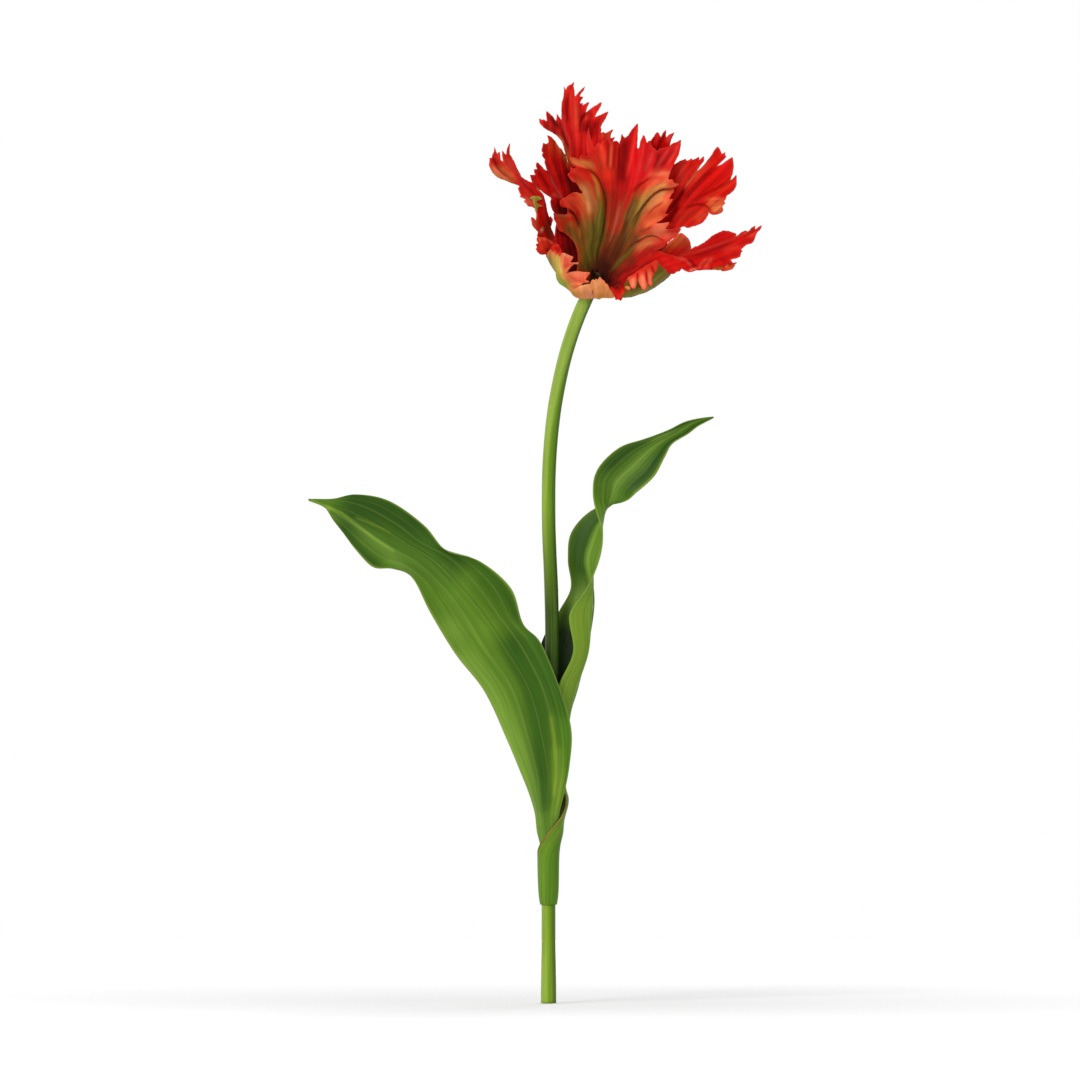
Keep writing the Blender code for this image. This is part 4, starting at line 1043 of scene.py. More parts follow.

# ---------------------------------------------------------------------------
# Back left petal: the tallest, stamped from coated fabric, heat-pressed into pleats and dyed from
# maroon to scarlet, its maroon foot partly painted shade. Its fringed top shows above the others.
# Its claw is glued to the receptacle.

PETAL_THICKNESS = 0.45
PETAL_GRID = 0.85
RIM_SHARPNESS = 0.3
RIM_TINT_SHARE = 0.35
PETAL_CAST = (1.16, 0.88, 0.72)
READ_FROM = CENTRE + Vector((0.3, 0.0, 0.6))


def fringed(outline, spacing, tooth=0.16):
    """Draws a rim smoothly through its marks, with sharp tips and very small teeth."""
    marks = np.array(outline, float)
    drawn = []
    for k in range(len(marks)):
        before, here, there, after = (marks[(k + j) % len(marks)] for j in (-1, 0, 1, 2))
        length = np.linalg.norm(there - here)
        leave, arrive = (there - before) * RIM_SHARPNESS, (after - here) * RIM_SHARPNESS
        leave = leave * min(1.0, length / max(np.linalg.norm(leave), 1e-6))
        arrive = arrive * min(1.0, length / max(np.linalg.norm(arrive), 1e-6))
        steps = max(1, round(length / spacing))
        for t in np.arange(steps) / steps:
            t2, t3 = t * t, t * t * t
            drawn.append((2 * t3 - 3 * t2 + 1) * here + (t3 - 2 * t2 + t) * leave
                         + (3 * t2 - 2 * t3) * there + (t3 - t2) * arrive)
    drawn = np.array(drawn)
    way = np.roll(drawn, -1, axis=0) - np.roll(drawn, 1, axis=0)
    way /= np.maximum(np.linalg.norm(way, axis=1, keepdims=True), 1e-6)
    far = rise(np.linalg.norm(drawn, axis=1), 12.0, 12.0)
    wiggle = waves(drawn, 1.1, 3.0) * tooth * 2.0 * far
    return drawn + np.column_stack([way[:, 1], -way[:, 0]]) * wiggle[:, None]


def inside(spots, rim):
    """True for each spot that lies inside a closed rim."""
    found = np.zeros(len(spots), bool)
    for (x1, y1), (x2, y2) in zip(rim, np.roll(rim, -1, axis=0)):
        if y1 != y2:
            crosses = (y1 > spots[:, 1]) != (y2 > spots[:, 1])
            found ^= crosses & (spots[:, 0] < x1 + (spots[:, 1] - y1) / (y2 - y1) * (x2 - x1))
    return found


def rim_gap(spots, rim):
    """Each spot's distance to a closed rim."""
    return to_path(spots, np.vstack([rim, rim[:1]]))[0]


def even_points(path, spacing):
    """Points evenly along a path, with the path's direction at each."""
    line = np.array(path, float)
    lengths = np.linalg.norm(np.diff(line, axis=0), axis=1)
    ends = np.concatenate([[0.0], np.cumsum(lengths)])
    stops = np.linspace(0.0, ends[-1], max(2, round(ends[-1] / spacing)) + 1)
    spots = np.column_stack([np.interp(stops, ends, line[:, 0]),
                             np.interp(stops, ends, line[:, 1])])
    way = np.gradient(spots, axis=0)
    return spots, way / np.maximum(np.linalg.norm(way, axis=1, keepdims=True), 1e-9)


def flat_fill(rim, creases, spacing):
    """Fills a rim with even triangles. Two rows of points on each crease fold it sharply."""
    low, high = rim.min(axis=0), rim.max(axis=0)
    rows = int((high[1] - low[1]) / (spacing * 0.866)) + 1
    columns = int((high[0] - low[0]) / spacing) + 2
    r, c = np.meshgrid(np.arange(rows), np.arange(columns), indexing="ij")
    spots = low + spacing * np.column_stack([(c - 0.5 * (r % 2)).ravel(), (0.866 * r).ravel()])
    spots = spots[inside(spots, rim)]
    spots = spots[rim_gap(spots, rim) > 0.5 * spacing]
    rails = []
    for path in creases:
        spots = spots[to_path(spots, path)[0] > 0.75 * spacing]
        along, way = even_points(path, 0.85 * spacing)
        beside = np.column_stack([-way[:, 1], way[:, 0]]) * 0.22
        rails += [along + beside, along - beside]
    if rails:
        rails = np.vstack(rails)
        rails = rails[inside(rails, rim)]
        rails = rails[rim_gap(rails, rim) > 0.35]
        spots = np.vstack([spots, rails])
    edges = [(k, (k + 1) % len(rim)) for k in range(len(rim))]
    filled = delaunay_2d_cdt([Vector(p) for p in np.vstack([rim, spots])], edges, [], 1, 1e-4)
    return np.array([tuple(p) for p in filled[0]]), filled[2]


def thin_plate(marks):
    """A smooth function over the flat drawing that passes near marks of (x, z, value)."""
    marks = np.array(marks, float)
    flat, count = marks[:, :2], len(marks)

    def pull(squared):
        return squared * np.log(squared + 1e-9)

    system = np.zeros((count + 3, count + 3))
    between = ((flat[:, None] - flat[None]) ** 2).sum(axis=2)
    system[:count, :count] = pull(between) + np.eye(count) * 2.0
    system[:count, count] = 1.0
    system[:count, count + 1:] = flat
    system[count:, :count] = system[:count, count:].T
    weights = np.linalg.solve(system, np.append(marks[:, 2], (0.0, 0.0, 0.0)))

    def value(spots):
        near = pull(((spots[:, None] - flat[None]) ** 2).sum(axis=2))
        return near @ weights[:count] + weights[count] + spots @ weights[count + 1:]

    return value


def folded(spots, depth, creases):
    """Adds creases to the depth: each side of a path stands towards the viewer by its own amount,
    less and less towards the petal's foot."""
    for left, right, reach, path in creases:
        gap, side, share = to_path(spots, path)
        turn = 0.5 + 0.5 * np.tanh(gap * side / 0.2)
        fade = np.exp(-gap / reach) * fall(share, 1.0) ** 0.7
        depth = depth - (left * turn + right * (1.0 - turn)) * fade
    return depth


def waves(spots, scale, seed):
    """Smooth random waves over the flat drawing."""
    return np.array([noise.noise(Vector((p[0] * scale, p[1] * scale, seed))) for p in spots])


def petal_flow(spots, midrib, flow_lines=None):
    """Coordinates along a petal's veins: (across, along), in millimetres."""
    if flow_lines:
        marks = [(x, z, value) for value, path in flow_lines for x, z in path]
        return np.column_stack([thin_plate(marks)(spots) * 26.0, np.linalg.norm(spots, axis=1)])
    gap, side, share = to_path(spots, midrib)
    line = np.array(midrib, float)
    total = np.linalg.norm(np.diff(line, axis=0), axis=1).sum()
    spread = gap * side / (0.35 + 0.75 * share)
    return np.column_stack([spread, share * total])


def petal_sheet(outline, depths, creases, base, strokes, midrib=None, flow_lines=None, pleat=0.35,
                ruffle=0.7, seed=1.0, edge=(236, 84, 66), grid=PETAL_GRID, tooth=0.16):
    """Draws one flat sheet of a petal, shapes and paints it: (points, faces, tint, flow). Outline
    marks are (x, z) and depths (x, z, towards the back); a crease is (rise on its left, rise on its
    right, reach, path); a stroke is (colour, width, path, strength if below 1)."""
    rim = fringed(outline, 0.85 * grid, tooth)
    spots, faces = flat_fill(rim, [crease[3] for crease in creases], grid)
    gap = rim_gap(spots, rim)
    flow = petal_flow(spots, midrib, flow_lines)
    away = rise(flow[:, 1], 8.0, 25.0)
    broad = np.sin(flow[:, 0] * 1.05 + 2.2 * waves(spots, 0.05, seed))
    narrow = np.sin(flow[:, 0] * 2.6 + 3.0 * waves(spots, 0.07, seed + 5.0))
    depth = thin_plate(depths)(spots) + pleat * away * (broad + 0.5 * narrow)
    depth = depth + ruffle * away * np.exp(-gap / 2.6) * waves(spots, 0.22, seed + 9.0) * 2.2
    depth = folded(spots, depth, creases)
    feather = (0.45 * waves(flow * (1.0, 0.07), 1.0, seed + 13.0)
               + 0.35 * waves(flow * (0.35, 0.03), 1.0, seed + 17.0))
    tint = np.tile(linear(base), (len(spots), 1))
    for colour, width, path, *strength in strokes:
        brush(tint, spots, colour, width, path, *strength, feather=feather, fade=0.65)
    # Painted shade in the pleats' valleys, deeper away from the foot.
    tint = tint * (1.0 - away * (0.2 * (0.5 + 0.5 * broad) + 0.14 * (0.5 + 0.5 * narrow)))[:, None]
    tint *= PETAL_CAST
    dye(tint, edge, RIM_TINT_SHARE * away * np.exp(-gap / 0.6))
    return np.column_stack([spots[:, 0], depth, spots[:, 1]]), faces, tint, flow


def finish_petal(name, sheets, node, welded=False):
    """Joins a petal's sheets into one piece, gives it its thickness and fixes it to the head."""
    places, tint, flow = (np.vstack([sheet[k] for sheet in sheets]) for k in (0, 2, 3))
    faces, first = [], 0
    for sheet in sheets:
        faces += [tuple(int(k) + first for k in face) for face in sheet[1]]
        first += len(sheet[0])
    mesh = bpy.data.meshes.new(name)
    mesh.from_pydata((places + np.array(READ_FROM)) * MM, [], faces)
    store_drawing(mesh, tint, flow * MM)
    piece = bpy.data.objects.new(name, mesh)
    bpy.context.scene.collection.objects.link(piece)
    if welded:
        work = bmesh.new()
        work.from_mesh(mesh)
        bmesh.ops.remove_doubles(work, verts=work.verts, dist=0.02 * MM)
        work.to_mesh(mesh)
        work.free()
    mesh.shade_smooth()
    mesh.materials.append(petal_inner)
    mesh.materials.append(petal_outer)
    shell = piece.modifiers.new("thickness", "SOLIDIFY")
    shell.thickness = PETAL_THICKNESS * MM
    shell.offset = 0.0
    shell.material_offset = 1
    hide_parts(node)
    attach(piece, "head")


PETAL_LOOK = dict(vein_colour=(70, 26, 20), vein_share=0.3, dark=(200, 120, 110), dark_share=0.42,
                  streak=420.0, vein=1500.0, mottle=700.0, relief=0.00022, rough=0.55, gloss=0.06)
petal_inner = veined_material("petal_inner_face", **PETAL_LOOK)
petal_outer = veined_material("petal_outer_face", **{**PETAL_LOOK, "rough": 0.6, "gloss": 0.2})

back_left = petal_sheet(
    outline=[
        (-2.4, 4), (-8, 6), (-18, 30), (-22, 60), (-15, 83), (-16.8, 90.3), (-17.2, 92.4),
        (-18.1, 95.8), (-19.4, 99.3), (-21.5, 101.9), (-23.7, 104), (-26.3, 105.5), (-29.7, 107.2),
        (-32.3, 109.2), (-34.4, 112.2), (-34.6, 114.7), (-32.7, 113.7), (-31.4, 113.9),
        (-29.5, 113), (-29.8, 116), (-29.5, 119.5), (-26.3, 116.9), (-24.5, 114.7), (-23.3, 113),
        (-22.9, 115.6), (-22.8, 118.4), (-22, 116.9), (-19.8, 113.9), (-19.7, 115.2),
        (-19.6, 119.9), (-19.4, 125.5), (-18.5, 128.5), (-17.9, 132.8), (-18.1, 136),
        (-16.8, 134.1), (-15.1, 136.6), (-12.9, 137.7), (-11.4, 139), (-11.7, 136.6), (-11, 133.2),
        (-10.6, 129.6), (-9.1, 131.1), (-6.9, 133.6), (-3.7, 136.3), (-5.2, 133.2), (-7.6, 129.8),
        (-5, 129.1), (-6.5, 127.2), (-7.4, 125), (-5, 125.1), (-5.6, 123.8), (-1.1, 125.9),
        (-2.2, 122.9), (-3.3, 119), (0, 121.6), (2.9, 123.5), (7.3, 125.8), (5.9, 121.6),
        (2.5, 116), (5.5, 116.9), (11.7, 119.5), (10.2, 115.6), (7.7, 111.3), (6.8, 109.2),
        (7.2, 107.4), (6.7, 105.3), (8.5, 105.9), (9.8, 105.1), (15, 107.7), (13.7, 104.9),
        (13.2, 101.9), (16.2, 102.3), (15, 100.1), (14, 96), (4, 60), (1, 30), (-1, 5),
    ],
    depths=[
        (-4, 6, 17), (-9, 40, 37), (-21, 45, 28), (-6, 85, 40), (-16, 88, 34), (-8, 115, 35),
        (-12, 138, 23), (-34, 114, 21), (14, 105, 33), (-2, 4, 6.4), (-3.5, 4.5, 6.6),
    ],
    creases=[
        (1.2, -1.2, 4, [(-19.7, 114), (-18.5, 108), (-16.5, 102), (-14, 96), (-12, 91)]),
        (-1.6, 1.4, 5, [(-3.3, 119), (-6, 116), (-8, 111), (-8, 105)]),
        (1.1, -1.1, 4, [(2.5, 116), (1, 111), (0, 105), (0, 100)]),
        (0.7, -0.7, 4, [(-12, 137), (-13.5, 128), (-14, 118), (-13, 106)]),
    ],
    strokes=[
        ((244, 60, 54), 6, [(-13, 136), (-13, 124), (-12, 112), (-9, 98)]),
        ((206, 16, 14), 3, [(-16.5, 132), (-17, 122), (-16.5, 112), (-13, 100)]),
        # Painted highlight along the ridge of the left fold.
        ((214, 72, 74), 2.4, [(-18.7, 117), (-18, 109), (-16.4, 102.7), (-14.2, 96.3), (-12, 91)],
         0.8),
        # Painted shade along the folds: this stroke and the next.
        ((140, 4, 4), 3, [(-20.5, 108), (-17.5, 101), (-14.5, 94)]),
        ((146, 0, 0), 1.8, [(-15.5, 131), (-16.2, 122), (-15.6, 112)]),
        ((132, 20, 16), 4, [(-28, 117), (-25, 112.5), (-20, 108)]),
        ((176, 34, 34), 4, [(-33, 111.5), (-26, 107), (-19, 101)]),
        ((236, 92, 66), 2, [(-10, 125), (-9.6, 117), (-9.4, 109)], 0.8),
        # Painted shade along the middle fold.
        ((140, 0, 0), 7, [(-4.5, 120), (-3, 112), (-3, 104)]),
        ((236, 56, 46), 3, [(0, 124), (-1, 119), (-4, 113)]),
        ((188, 18, 12), 4, [(9, 118), (5, 111), (1, 102)]),
        # Painted shade along the right fold.
        ((150, 2, 0), 3, [(4, 114), (1, 107), (-1, 100)]),
        ((222, 84, 58), 4, [(7, 103.5), (11, 103.5), (15, 106)]),
        ((206, 40, 30), 3, [(10, 117), (6, 111)]),
        ((212, 140, 84), 2.2, [(-22.5, 103.4), (-19.4, 99), (-18, 95)]),
        ((190, 136, 62), 3, [(-18, 96), (-16.4, 91), (-15, 86), (-14.5, 81)]),
        # The dark foot, this stroke and the next, is partly the petal's own maroon and partly
        # painted shade of the throat.
        ((120, 24, 10), 24, [(-3, -4), (-7, 25), (-9, 58)], 0.85),
        ((56, 8, 2), 14, [(-2, -4), (-5, 14)], 0.9),
    ],
    midrib=[(-2, 2), (-8, 30), (-10, 70), (-10, 105), (-12, 139)],
    base=(232, 36, 36), seed=2.0, pleat=0.42,
)
finish_petal("back_left_petal", [back_left], "petal_back_left")

# ---------------------------------------------------------------------------
# Back right petal: stamped and pressed like the others, mostly hidden. Only its fringed tip shows
# between the back centre petal's two tall lobes.

back_right = petal_sheet(
    outline=[
        (1.6, 4), (6, 20), (18, 60), (36, 96), (40.4, 100.2), (42.4, 103.2), (44.7, 105.8),
        (46, 104), (46.9, 102.5), (48.4, 104.9), (50.3, 106.9), (50.3, 104), (50.5, 102.1),
        (52.7, 104), (55.9, 105.2), (54.6, 102.3), (53.5, 99.3), (52.5, 94), (40, 60), (26, 30),
        (10, 5), (3.4, 4),
    ],
    depths=[
        (5, 6, 17), (22, 45, 37), (8, 30, 31), (38, 60, 29), (45, 90, 33), (54, 95, 27),
        (50, 107, 26), (2.4, 4, 6.4),
    ],
    creases=[
        (0.8, -0.8, 4, [(46.9, 102.5), (45, 97), (42, 90)]),
        (0.8, -0.8, 4, [(50.5, 102.1), (48, 96), (45, 90)]),
    ],
    strokes=[
        ((222, 42, 40), 3, [(44, 106), (45, 102), (44.5, 96)]),
        # Painted shade along the fold between the tip's lobes.
        ((160, 4, 4), 2.6, [(47.4, 104), (46, 98), (43, 90)]),
        ((226, 60, 54), 2, [(53.5, 104), (51, 99)]),
        # Dark foot: partly the petal's own maroon, partly painted shade of the throat.
        ((120, 20, 10), 26, [(3, 0), (14, 35), (28, 66)], 0.85),
    ],
    midrib=[(2, 2), (16, 40), (32, 75), (46, 107)],
    base=(196, 8, 8), seed=3.0,
)
finish_petal("back_right_petal", [back_right], "petal_back_right")

# ---------------------------------------------------------------------------
# Left inner petal: pressed into a steep gutter, darker dyed and darker still with painted shade.
# It stands between the back centre petal and the left outer one, and its ragged margin shows on
# the left.

left_inner = petal_sheet(
    outline=[
        (-6.6, 1), (-11, 2), (-20, 12), (-24, 28), (-24, 38), (-23.3, 44.6), (-24.6, 47),
        (-24.9, 50.4), (-24.9, 52.2), (-25.5, 53), (-26.8, 56), (-27, 58.6), (-26.6, 61),
        (-27.6, 62), (-30.2, 63.5), (-32.8, 65.5), (-35.2, 67.8), (-37.1, 69.3), (-39, 71.3),
        (-40.1, 74.5), (-40.5, 76.6), (-37.5, 76.5), (-38, 78.4), (-37.9, 80.3), (-36.1, 80.4),
        (-36.7, 82.7), (-36, 85.1), (-33.1, 82.5), (-30.6, 80), (-29.3, 79.5), (-30.1, 82.1),
        (-31, 85.1), (-30.8, 87), (-31.9, 88.5), (-32.7, 90.3), (-31.9, 91.3), (-33.1, 92.8),
        (-32.3, 95.8), (-31.6, 98), (-30.1, 97.3), (-28.4, 98.4), (-28.6, 101), (-29.2, 103.2),
        (-26.7, 102.1), (-24.5, 100.1), (-22.8, 97.6), (-21.1, 95), (-19.8, 94.1), (-18.5, 92),
        (-17.2, 90.3), (-14, 83), (-8, 83), (-4, 66), (-5, 50), (-6, 30), (-6, 14), (-5.5, 6),
        (-5.2, 2.4),
    ],
    depths=[
        (-17, 9, 10), (-9, 16, 15), (-9, 30, 25), (-26, 30, 10), (-26, 45, 14), (-6, 55, 33),
        (-8, 83, 32), (-39, 74, 10), (-29, 102, 16), (-5.9, 1.6, 3.6),
    ],
    creases=[
        (-1.4, 1.2, 4, [(-29.3, 79.5), (-26.5, 73.5), (-23.5, 67.5), (-19.5, 61)]),
        (0.8, -0.7, 3, [(-36, 80), (-32, 74), (-28, 67), (-23, 58)]),
        (0.9, -0.9, 5, [(-24, 99), (-21, 88), (-18, 76), (-15, 62)]),
    ],
    strokes=[
        ((202, 54, 22), 7, [(-30, 103), (-27, 95), (-25, 88)]),
        ((184, 96, 40), 3, [(-25, 101), (-20.5, 94), (-18, 90), (-15.5, 83)]),
        ((168, 2, 0), 8, [(-26, 90), (-22, 79), (-18, 68)]),
        ((206, 26, 16), 3, [(-29.5, 92), (-27, 84), (-23, 74)]),
        ((112, 0, 0), 9, [(-15, 82), (-12, 70), (-10, 56)]),
        ((216, 30, 20), 4, [(-39, 74.5), (-34, 70), (-28, 64)]),
        # Painted shade along the lower fold.
        ((156, 0, 0), 2, [(-36, 81), (-31, 73), (-27, 66)]),
        ((206, 20, 14), 3, [(-34, 83), (-29.5, 76), (-25, 68)]),
        # Painted highlight along the upper fold's ridge.
        ((216, 92, 90), 1.4, [(-28.5, 79), (-26, 73), (-23, 67), (-19, 61)], 0.7),
        ((206, 84, 80), 1.6, [(-26, 62.6), (-24.6, 63.8), (-21.6, 62), (-19.1, 60.7)], 0.8),
        ((140, 0, 0), 6, [(-24, 58), (-20, 52), (-18, 48)]),
        ((176, 6, 4), 8, [(-21, 42), (-17, 32), (-14, 24)]),
        # The dark foot, here and in the last stroke, is partly the petal's own dark red and partly
        # painted shade of the throat.
        ((96, 0, 0), 13, [(-16, 34), (-13, 22), (-10, 10), (-7, 0)]),
        ((84, 0, 0), 5, [(-23, 52.6), (-18.4, 53), (-13, 54)]),
        ((40, 2, 0), 12, [(-11, 16), (-9, 8), (-6, -4)], 0.9),
    ],
    midrib=[(-7, 2), (-17, 30), (-20, 60), (-28, 85), (-29, 103)],
    base=(196, 10, 8), seed=4.0, pleat=0.4,
)
finish_petal("left_inner_petal", [left_inner], "petal_left_inner")

# ---------------------------------------------------------------------------
# Left outer petal: pressed long and narrow and twisted outwards, so that its painted inner face
# shows. Lime and peach run along its rim, and a small cap lobe covers its foot.

LEFT_OUTER_MIDRIB = [
    (-9, 1), (-20, 15), (-30, 28), (-35, 45), (-40, 60), (-50, 72), (-60, 82), (-64, 94),
]
left_outer_marks = [
    (-17, 3, -2), (-13, 9, 2), (-33, 21, -7), (-21, 28, 3), (-39, 46, -18), (-27, 43, 2),
    (-45, 59, -16), (-32, 64, 2), (-52, 78, -8), (-67, 84, -20), (-55, 96, -8), (-6.8, 1, 0),
]
left_outer = petal_sheet(
    outline=[
        (-6.6, 0.4), (-11, 1.5), (-20, 8), (-27, 20), (-30, 24), (-34.9, 23.8), (-36.7, 26.4),
        (-36, 27.7), (-36.9, 29.2), (-34.9, 30), (-36.2, 32), (-35.4, 33.3), (-36, 35.4),
        (-35.4, 38), (-37.1, 39.7), (-39.2, 42.3), (-39.7, 44.9), (-39.9, 47.5), (-38.4, 47),
        (-36.9, 45.7), (-36.4, 49.2), (-36.9, 51.7), (-37.9, 53.7), (-39.7, 54.9), (-41.8, 55),
        (-43.5, 56.9), (-45, 58.4), (-43.7, 59.7), (-45.2, 60.1), (-47.6, 61.4), (-47, 62.5),
        (-47.8, 64.6), (-48.7, 66.8), (-47.8, 68.3), (-49.1, 69.3), (-52.6, 70.4), (-56.8, 71.9),
        (-60.3, 73.2), (-63.3, 74.9), (-65.9, 77.5), (-67.6, 80.9), (-68, 82.6), (-67.6, 84.8),
        (-67.8, 87), (-66.3, 87), (-65.9, 89.1), (-64.8, 91.2), (-64.4, 94.2), (-63.1, 91.2),
        (-62.6, 89.9), (-61.2, 91.5), (-60.7, 88.7), (-60.1, 85.7), (-58.8, 85), (-59.2, 88.7),
        (-59.2, 92.1), (-58.1, 90.6), (-56.6, 89.7), (-56, 93.4), (-54.3, 97.2), (-54.4, 93.4),
        (-54.3, 89.9), (-52.1, 86.5), (-50, 81.8), (-47.8, 77.5), (-46.3, 74.9), (-43.1, 72.6),
        (-41, 71.5), (-39, 71.1), (-35.2, 67.6), (-33.7, 65.5), (-31.5, 62), (-30.2, 56.9),
        (-29.1, 51.3), (-27.9, 47.9), (-27.2, 48.7), (-25.5, 46.6), (-26.8, 41.4), (-26.1, 39.3),
        (-25.1, 37.3), (-22, 29), (-14, 12), (-8, 4), (-6.6, 2),
    ],
    creases=[
        (-1.2, 1.4, 3, [(-65.5, 86.5), (-63, 81), (-59.5, 77), (-55, 73.8), (-50, 70)]),
        (1, -0.8, 3, [(-60, 86), (-56, 80), (-51, 75), (-46, 70)]),
        (1.2, -0.6, 4, [(-50.5, 80), (-46, 73), (-41, 66), (-37, 61)]),
        (0.9, -1.1, 4, [(-33, 60), (-31.5, 52), (-30, 44), (-28, 36), (-25, 27)]),
    ],
    strokes=[
        ((226, 64, 52), 6, [(-64, 90), (-58, 86), (-52, 82)]),
        ((204, 162, 76), 3, [(-67, 79.5), (-60, 73.6), (-52, 70.6)]),
        ((238, 140, 104), 3, [(-66.6, 82), (-60, 75.6), (-53, 72.4)]),
        # Painted shade along the top fold.
        ((168, 10, 6), 1.8, [(-65.4, 87), (-62, 80.5), (-57.4, 76), (-53, 73.4)]),
        ((228, 132, 76), 3.4, [(-61.4, 81.4), (-56, 77), (-51.4, 74)]),
        ((232, 84, 70), 4, [(-57, 84), (-53, 80), (-49, 76)]),
        ((206, 60, 64), 3.4, [(-49, 76), (-45, 70.6), (-41, 65)]),
        # Painted shade along the middle fold.
        ((160, 10, 14), 1.6, [(-47.4, 73.4), (-43, 67.6), (-38.6, 63.6)]),
        ((224, 44, 34), 4, [(-48, 66), (-44, 64), (-41, 61.6)]),
        ((240, 122, 92), 4.6, [(-46, 60), (-42.4, 58), (-39.2, 55.6)]),
        ((198, 160, 72), 1.8, [(-37, 53), (-37, 48), (-36.5, 42.6)]),
        ((206, 12, 6), 6, [(-34, 58), (-33.4, 48), (-33.6, 39)]),
        # Painted shade along the long lower fold: this stroke and the next.
        ((142, 0, 0), 2.6, [(-30, 58), (-29.5, 50), (-28.6, 43)]),
        ((104, 0, 0), 2.4, [(-28, 47), (-27.4, 42), (-26, 36)]),
        ((234, 92, 70), 3.4, [(-39.4, 46.4), (-38, 42), (-36.4, 39.4)]),
        ((240, 206, 166), 1.5, [(-35.7, 67.3), (-34.6, 66.4), (-33.3, 65.3)]),
        ((240, 196, 150), 1.5, [(-33.8, 38), (-33, 39.4), (-32.2, 40.6)]),
        ((108, 30, 10), 4, [(-30.6, 44), (-28.8, 38), (-26.5, 32)]),
        ((206, 40, 25), 6, [(-34, 31), (-30, 27), (-25, 22)]),
        # Dark foot: partly the petal's own dark red, partly painted shade of the throat.
        ((60, 6, 2), 14, [(-6, -1), (-15, 9), (-20, 16)], 0.9),
    ],
    depths=left_outer_marks, base=(212, 22, 16), midrib=LEFT_OUTER_MIDRIB, seed=5.0, pleat=0.34,
)
lime_patch = petal_sheet(
    outline=[
        (-41, 60.3), (-39.7, 61.6), (-37.5, 62), (-34.5, 61.8), (-32.7, 59.9), (-36.4, 58.6),
        (-35.4, 56.6), (-32.6, 55.3), (-35.5, 54.4), (-36.5, 51), (-37.6, 55), (-38.8, 59),
    ],
    depths=[(x, z, y - 0.9) for x, z, y in left_outer_marks],
    strokes=[
        ((190, 190, 96), 1.2, [(-40.5, 60.6), (-38, 61.2), (-35, 61)]),
        ((140, 140, 40), 1.2, [(-37, 58), (-37, 55), (-36.8, 52)]),
    ],
    creases=[], base=(168, 172, 66), midrib=LEFT_OUTER_MIDRIB, seed=5.2, pleat=0.2, ruffle=0.2,
    edge=(196, 196, 110), grid=0.6, tooth=0.1,
)
foot_lobe = petal_sheet(
    outline=[
        (-36, 34), (-34.4, 34.5), (-32.4, 34.1), (-30.4, 34), (-28.9, 33.3), (-27.3, 32.1),
        (-25.5, 31.1), (-22.9, 29.4), (-20, 26), (-21, 21), (-26, 21.5), (-30.2, 23), (-33, 22.6),
        (-35, 23.6), (-36.6, 26.2), (-35.8, 27.8), (-36.8, 29.3), (-35.2, 30.4), (-36.4, 32),
    ],
    depths=[
        (-36, 33, -18.5), (-29, 33, -13.5), (-23, 29, -6), (-21, 22, -4), (-28, 22, -8.5),
        (-35, 24, -14), (-30, 28, -13),
    ],
    creases=[(0.8, -0.6, 3, [(-36.8, 29.3), (-32, 28.5), (-27, 26)])],
    strokes=[
        ((236, 96, 70), 2, [(-36, 33.4), (-31, 33.4), (-26, 31.2), (-23, 29.2)]),
        ((160, 12, 6), 4, [(-23, 24), (-30, 25.4)]), ((234, 66, 44), 4, [(-36, 26), (-31, 30)]),
        ((222, 130, 70), 1.6, [(-34.6, 33), (-34, 32)]),
    ],
    base=(212, 44, 26), midrib=LEFT_OUTER_MIDRIB, seed=5.5, pleat=0.25, ruffle=0.5,
)
finish_petal("left_outer_petal", [left_outer, lime_patch, foot_lobe], "petal_left_outer")

# ---------------------------------------------------------------------------
# Right upper petal: a broad fan with three deep lobes and pressed ribs, leaning out to the right
# behind the lower one. A round lobe closes the gap at its foot.

